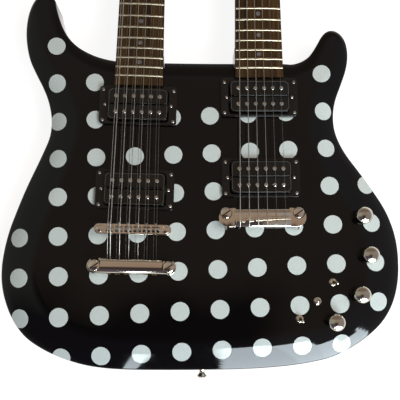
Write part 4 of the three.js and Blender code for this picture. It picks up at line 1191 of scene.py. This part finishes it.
def tailpiece():
    at = STATION["12"] @ shift(0, -TAIL_BACK)
    half, top = TAIL_WIDTH / 2, TAIL_FLOOR + TAIL_HEIGHT
    section = [(-half * 0.72, TAIL_FLOOR), (half * 0.72, TAIL_FLOOR), (half, TAIL_FLOOR + 3.0),
               (half * 0.92, top - 2.6), (half * 0.6, top - 0.35), (0, top),
               (-half * 0.6, top - 0.5), (-half * 0.95, top - 3.2), (-half, TAIL_FLOOR + 3.0)]
    middle = bar_along_x(soften(section, 2.4, 4), STUD_SPACING, 0.2)
    tools = ear_cuts(0, TAIL_WIDTH)
    end = soft_disc(half, TAIL_FLOOR, EAR_TOP, 0.7, 3)
    hole = rod(1.25, 40, z=-20, steps=12)
    ball = lathe([(0, -1), (1.1, -1), (1.15, 0), (1.1, 1), (0, 1)], 12)
    holes, balls = [], []
    for _, _, x in paired_strings():
        holes.append(moved(hole, shift(x, 0, TAIL_HOLE) @ turn("X", 90)))
        balls.append(moved(ball, shift(x, -half + 0.9, TAIL_HOLE) @ TO_X))
    ends = [moved(end, shift(x)) for x in spread(2, STUD_SPACING)]
    hardware("tailpiece_12_bar", cut(middle, *tools, holes), at, ["tailpiece_12"])
    hardware("tailpiece_12_ears", cut(ends, *tools[:2]), at)
    # The ball ends' dark brass is painted shade in the holes
    piece("string_ball_ends", balls, SHADED_BRASS, at=at)


def wrap_bridge():
    at = STATION["6"]
    rear, front = -WRAP_BACK, WRAP_WIDTH - WRAP_BACK
    top = WRAP_TOP - RIDGE_HEIGHT
    section = [(rear + 3.2, WRAP_FLOOR), (front - 3.2, WRAP_FLOOR), (front, WRAP_FLOOR + 3.8),
               (front - 1.2, top - 2.6), (front - 5.0, top - 0.5), (3.0, top), (-3.0, top - 0.2),
               (rear + 0.9, top - 1.6), (rear, WRAP_FLOOR + 5.6)]
    middle = bar_along_x(soften(section, 1.1, 4), 2 * LUG_INNER + 3, 0.2)
    hardware("bridge_6_bar", middle, at, ["bridge_6"])
    lugs, set_screws = [], []
    for side in (-1, 1):
        centre = side * (STUD_SPACING / 2 - LUG_INWARD)
        outline = [(centre + side * LUG_RADIUS * sin(a), LUG_FORWARD - LUG_RADIUS * cos(a))
                   for a in (radians(5 * k) for k in range(37))]
        outline += [(side * LUG_INNER, LUG_FORWARD + LUG_RADIUS),
                    (side * LUG_INNER, LUG_FORWARD - LUG_RADIUS)]
        lugs.append(slab(outline, TAIL_FLOOR, TAIL_FLOOR + LUG_HEIGHT, 0.4, 0.5, 4))
        screw = cut(rod(1.2, 8, steps=16), rod(0.65, 2, z=6.8, steps=6))
        place = shift(side * STUD_SPACING / 2, LUG_FORWARD - LUG_RADIUS / 2, TAIL_FLOOR + 2.8)
        set_screws.append(moved(screw, place @ turn("X", 90)))
    hardware("bridge_6_lugs", cut(lugs, *ear_cuts(WRAP_STUD_FORWARD, WRAP_WIDTH)), at)
    piece("bridge_6_set_screws", set_screws, SCREW_METAL, at=at, sharp=40)
    pitch, crest = STRING_SPAN_AT_BRIDGE / 5, WRAP_TOP + GAP * 0.5
    steps = []
    for course in range(6):
        rear, front = (ridge_y(course) + c for c in spread(2, RIDGE_WIDTH))
        section = [(rear - 0.1, top - 1), (front + 0.8, top - 1), (front - 0.2, crest),
                   (rear, crest)]
        steps.append(moved(bar_along_x(soften(section, 0.5, 2), pitch - 0.05, 0.15),
                           shift(saddle_x(course))))
    hardware("bridge_6_ridge", steps, at)


def stud(name, at):
    low, high = TAIL_FLOOR - GAP, EAR_TOP + GAP
    r, n, top = STUD_HEAD_RADIUS, STUD_NECK_RADIUS, high + STUD_HEAD_HEIGHT
    profile = [(0, -6), (5.2, -6), (5.2, 0.3), (6.0, 0.3), (6.0, 1.1), (n, 1.4), (n, low - 1.5),
               (6.6, low - 1.4), (6.6, low), (n, low), (n, high), (r - 0.4, high), (r, high + 0.4),
               (r, high + 1.5), (r - 0.7, high + 2.4), (r * 0.75, top), (0, top)]
    slot_way, slot_floor = turn("Z", 35), top - 1.6
    slot = moved(box(2 * r + 2, 1.3, 4, z=slot_floor), slot_way)
    hardware(f"{name}_screw", cut(lathe(profile, 44), slot), at, [name])
    # A dark strip on the slot's floor: painted shade in the slot
    piece(f"{name}_slot", box(2 * r - 1.6, 1.2, 0.05, z=slot_floor), PAINTED_SHADE, at=at @ slot_way)


# Controls
def knobs():
    r, h, dome = KNOB_RADIUS, KNOB_HEIGHT, 11.8
    profile = [(0, 12), (3.3, 12), (3.3, 4), (6.4, 4), (6.4, 0), (r * 0.93, 0), (r * 0.97, 0.35),
               (r * 0.985, 1.2), (r, h * 0.45)]
    profile += [(x, h - dome + sqrt(dome * dome - x * x))
                for x in (r * (1 - k / 15) for k in range(16))]
    shape = cut(lathe(profile, 64), moved(rod(1.5, 12, steps=16), shift(z=3.4) @ TO_X))
    for i, place in enumerate(KNOBS):
        name = f"control_knob_{i + 1}"
        low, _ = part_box(name)
        at = shift(place.x, place.y, low.z / MM) @ turn("Z", 200 + 40 * i)
        piece(f"{name}_dome", shape, KNOB_CHROME, at, name, [name], sharp=45)
        looks = NODES[f"potentiometer_{i + 1}"].data.materials
        looks.clear()
        looks.append(ZINC)


TOGGLE_THROWS = (-20.0, 168.0, -58.0)
TOGGLE_THROW_ANGLE = 13.0
TOGGLE_PIVOT = 2.6
TOGGLE_REACH = 11.5


def toggles():
    ridges = [point for k in range(9) for point in ((3.0, 2.4 + 0.34 * k), (2.8, 2.57 + 0.34 * k))]
    bush = [
        lathe([(0, -8), (3.0, -8), *ridges, (2.6, 5.5), (2.1, 5.5), (2.1, 0.4), (0, 0.4)], 28),
        disc(4.3, 0.02, 0.5, (0.2, 0.1), 36), box(12.5, 7, 9, z=-10.3 - 9)]
    nut_shape = hex_nut(4.0, 0.5, 2.4, 0.35, 0.4)
    lever = [(0, -1.7), (1.2, -1.2), (1.7, 0), (1.2, 1.2), (0.8, 2.1), (0.9, 5.0), (1.15, 7.5),
             (1.45, 9.4), (1.5, 10.4), (1.2, 11.2), (0.6, TOGGLE_REACH), (0, TOGGLE_REACH)]
    for i, (place, throw) in enumerate(zip(TOGGLES, TOGGLE_THROWS)):
        name, lever_name = f"toggle_switch_{i + 1}", f"toggle_lever_{i + 1}"
        at = shift(place.x, place.y, BODY_THICKNESS) @ turn("Z", throw)
        piece(f"{name}_bush", [bush, moved(nut_shape, turn("Z", 17 * i))], CHROME,
              at, stands_for=[name], sharp=30)
        tilt = at @ shift(z=TOGGLE_PIVOT) @ turn("Y", TOGGLE_THROW_ANGLE)
        piece(f"{lever_name}_bat", lathe(lever, 24), CHROME, tilt, lever_name,
              [lever_name], sharp=50)


def side_frame(node_name, outward, sunk):
    """A frame on the body's side for a node that reaches a depth into it, with Z outwards."""
    out = Vector(outward).normalized()
    across = Vector((0, 0, 1)).cross(out)
    middle = middle_of(node_name)
    at = Matrix((
        (across.x, 0, out.x, middle.x), (across.y, 0, out.y, middle.y),
        (across.z, 1, out.z, middle.z), (0, 0, 0, 1)))
    low = min((at.inverted() @ (v.co / MM)).z for v in NODES[node_name].data.vertices)
    return at @ shift(z=low + sunk)


def cad_axis(node_name):
    """Outward axis of a turned CAD node: the way in which its points spread most."""
    points = np.array([v.co for v in NODES[node_name].data.vertices])
    points = points - points.mean(axis=0)
    axis = Vector(np.linalg.eigh(points.T @ points)[1][:, -1])
    return axis * (1 if axis.dot(middle_of(node_name)) > 0 else -1)


def strap_buttons():
    profile = [(0, -3), (5.0, -3), (5.0, 0.3), (4.7, 0.8), (3.5, 3.4), (3.4, 5.4), (4.2, 7.2),
               (5.8, 8.6), (6.0, 9.3), (5.8, 10.2), (5.0, 10.8), (0, 11.0)]
    for name in ("strap_button_1", "strap_button_2"):
        face = side_frame(name, cad_axis(name), 20)
        piece(f"{name}_turned", cut(lathe(profile, 40), rod(2.4, 2, z=9.6)), CHROME,
              face, stands_for=[name])
        piece(f"{name}_felt", disc(5.6, 0.02, 0.6), TAPE, at=face)
        screws(f"{name}_screw", CROSS_SCREW, 2.1, [(0, 0, 9.9)], face)


def output_socket():
    name = "output_jack"
    bore = rod(3.6, 30, z=-19.2, steps=28)
    plate, nut_shape = disc(9, 0.05, 0.8, (0.4, 0.3), 44), hex_nut(6.4, 0.8, 2.0)
    barrel = lathe([(0, -24), (6.2, -24), (6.2, 0.1), (4.6, 0.1), (4.6, 2.1), (0, 2.1)], 32)
    shapes = [cut(s, bore) for s in (plate, nut_shape, barrel)]
    piece(f"{name}_socket", shapes, CHROME, side_frame(name, (1, 0, 0), 24),
          stands_for=[name], sharp=30)


def control_cover():
    """The rear cover, with its screws at even steps round its edge."""
    outline = control_outline(CONTROL_MARGIN + COVER_LEDGE - GAP)
    inner = np.array(control_outline(CONTROL_MARGIN + COVER_LEDGE - 3.4))
    inner = np.vstack([inner, inner[:1]])
    walked = np.concatenate([[0], np.cumsum(np.linalg.norm(np.diff(inner, axis=0), axis=1))])
    stops = walked[-1] * (np.arange(7) + 0.5) / 7
    x, y = (np.interp(stops, walked, inner[:, axis]) for axis in (0, 1))
    sinks = [rod(2.5, 2, *place, -0.5) for place in zip(x, y)]
    shape = cut(slab(outline, 0.0, COVER_THICKNESS, 0.0, 0.5), sinks)
    piece("control_cover_plate", shape, COVER_PLASTIC,
          stands_for=["control_cover"])
    places = [(-place_x, place_y, -1.3) for place_x, place_y in zip(x, y)]
    screws("control_cover_screws", CROSS_SCREW, 2.0, places, turn("Y", 180))


# Stage
FLOOR_GAP = 0.3
FLOOR_HALF = 4000.0
CEILING = (0.376, 0.282, 0.222)
CLOUD = (0.055, 0.042, 0.042)
WALLS = ((0.42, 0.42, 0.37), (0.36, 0.335, 0.36))
FAR_WALL = (0.25, 0.185, 0.145)
WINDOW_WALL = (0.1, 0.085, 0.11)
HORIZON = (0.5, 0.49, 0.48)
DAYLIGHT = (0.86, 0.98, 1.05)
# The window's panes in its plane: left side, width, top (mm) and radiance
WINDOW_DISTANCE = 1300.0
WINDOW_LOW = -570.0
PANES = [(-514 + 22 * k, 22, -350 + 100 * k, 16.2) for k in range(8)]
PANES += [(-338, 228, 465, 16.2), (-110, 180, 400, 18.6), (70, 130, 140, 19.8),
          (200, 90, 130, 19.8), (290, 185, -70, 18.0), (475, 30, 40, 17.0),
          (505, 30, -50, 17.0), (535, 30, -160, 17.0), (565, 30, -270, 17.0)]
# The photograph's camera: place (mm), lens (mm) and turns about X, Y and Z (degrees)
CAMERA_AT = (-9.96, -47.45, 685.03)
CAMERA_LENS = 50.09
CAMERA_TURNS = (-7.25, 1.10, -0.64)


def room():
    """A floor that is white where it is seen, mirrored or looked at through something."""
    look, shader = material("floor", (0.78, 0.78, 0.77), 0.6)
    glow = node(look, "Emission", {"Color": (1, 1, 1), "Strength": 0.88})
    pale = node(look, "BsdfDiffuse", {"Color": (0.3, 0.3, 0.3)})
    white = node(look, "AddShader", {0: glow.outputs[0], 1: pale.outputs[0]})
    seen = rays(look, "Camera") | rays(look, "Glossy") | rays(look, "Transmission")
    mix = node(look, "MixShader", {"Fac": seen, 1: shader.outputs[0], 2: white.outputs[0]})
    give(look.node_tree.nodes["Material Output"], {"Surface": mix.outputs[0]})
    corners = [Vector((x, y, -FLOOR_GAP)) for x, y in
               ((-FLOOR_HALF, -FLOOR_HALF), (FLOOR_HALF, -FLOOR_HALF),
                (FLOOR_HALF, FLOOR_HALF), (-FLOOR_HALF, FLOOR_HALF))]
    floor = mesh_object("floor", (corners, [(0, 1, 2, 3)]))
    floor.data.materials.append(look)


def rays(owner, kind):
    """1 for rays of a kind, 0 for others."""
    return Number(node(owner, "LightPath").outputs[f"Is {kind} Ray"])


def sky():
    """A plain room: brownish overhead, dark round the window and paler towards the horizon."""
    world = bpy.data.worlds.new("room")
    bpy.context.scene.world = world
    world.use_nodes = True
    way = node(world, "TexCoord").outputs["Generated"]
    x, y, z = parts_of(way)
    cloud = node(world, "TexNoise", {"Vector": way, "Scale": 5.5, "Detail": 2.5}).outputs["Fac"]
    side = x * 0.12 + y * -0.94
    # The dark cloud starts higher on the bass side and ends before the treble side
    reach, clear = ranged(x, 0.07, 0, -0.27, -0.17), ranged(x, 1, 0.1, 0.12, 0.2)
    shade = ranged(side + reach + ranged(cloud, -0.05, 0.05), 0, 1, 0.0, 0.11) * clear
    above = mixed(shade, CEILING, CLOUD)
    wall = mixed(ranged(x, 0, 1, -0.5, 0.6), *WALLS)
    wall = mixed(ranged(y, 0, 1, 0.4, 0.65), wall, FAR_WALL)
    wall = mixed(ranged(side, 0, 1, 0.0, 0.25) * clear, wall, WINDOW_WALL)
    color = mixed(ranged(z, 1, 0, 0.86, 0.95), above, wall)
    color = mixed(ranged(z, 1, 0, 0.05, 0.35), color, HORIZON)
    # Seen past the floor's edge, the background is white; the lacquer mirrors the room
    seen = rays(world, "Camera") | rays(world, "Transmission")
    give(world.node_tree.nodes["Background"], {"Color": mixed(seen, color, (1, 1, 1))})


def facing(azimuth, off_zenith, distance):
    """A frame above the guitar that looks at its face, with Y upwards.

    The azimuth goes from -Y towards +X, and the distance is in millimetres.
    """
    a, z = radians(azimuth), radians(off_zenith)
    away = Vector((sin(z) * sin(a), -sin(z) * cos(a), cos(z)))
    turned = away.to_track_quat("Z", "Y").to_matrix().to_4x4()
    return Matrix.Translation(away * distance + Vector((0, 0, BODY_THICKNESS))) @ turned


def lamp(name, frame_of, left, right, low, high, radiance, color=DAYLIGHT):
    """A rectangular lamp in a plane that faces the guitar, between sides in millimetres."""
    light = bpy.data.lights.new(name, "AREA")
    light.shape = "RECTANGLE"
    light.size, light.size_y = (right - left) * MM, (high - low) * MM
    light.energy = radiance * pi * light.size * light.size_y
    light.color = color
    made = scene_object(name, light)
    place = frame_of @ shift((left + right) / 2, (low + high) / 2)
    place.translation *= MM
    made.matrix_world = place
    made.visible_camera = False
    return made


def lights():
    """A window in panes of many heights, which the lacquer mirrors, and two lamps it doesn't."""
    window = facing(26, 62, WINDOW_DISTANCE)
    mirrored = [lamp(f"pane_{k + 1}", window, left, left + width, WINDOW_LOW, top, radiance)
                for k, (left, width, top, radiance) in enumerate(PANES)]
    beside = facing(-11.5, 60, WINDOW_DISTANCE)
    mirrored.append(lamp("small_pane", beside, 18, 80, -420, 160, 15.0))
    for made in mirrored:
        made.visible_diffuse = False
    for made in (
        lamp("daylight", facing(35, 50, 1250.0), -350, 350, -250, 250, 11.0),
        lamp("ceiling", facing(115, 35, 1100.0), -300, 300, -250, 250, 5.0, (1, 0.96, 0.88)),
    ):
        made.visible_glossy = False


def camera():
    data = bpy.data.cameras.new("camera")
    data.sensor_width, data.lens = 36.0, CAMERA_LENS
    made = scene_object("camera", data)
    x_turn, y_turn, z_turn = CAMERA_TURNS
    to_camera = turn("Z", z_turn) @ turn("Y", y_turn) @ turn("X", x_turn)
    made.matrix_world = Matrix.Translation(Vector(CAMERA_AT) * MM) @ to_camera.inverted()
    bpy.context.scene.camera = made


def build():
    camera()
    build_body()
    for tag in SIDES:
        for make in (neck, headstock, fretboard, frets, inlays, truss_cover, tuners):
            make(tag)
    for (tag, name), y in PICKUPS.items():
        pickup_ring(tag, name, y)
        pickup(tag, name, y, 1 if (tag, name) == ("6", "neck") else -1)
    for make in (twelve_strings, six_strings, tune_bridge, tailpiece, wrap_bridge):
        make()
    for i, x in enumerate(spread(2, STUD_SPACING)):
        stud(f"tailpiece_stud_{i + 1}", STATION["12"] @ shift(x, -TAIL_BACK))
        stud(f"bridge_stud_{i + 1}", STATION["6"] @ shift(x, WRAP_STUD_FORWARD))
    for make in (knobs, toggles, strap_buttons, output_socket, control_cover, room, sky, lights):
        make()
    bpy.context.scene.view_settings.view_transform = "Standard"


build()
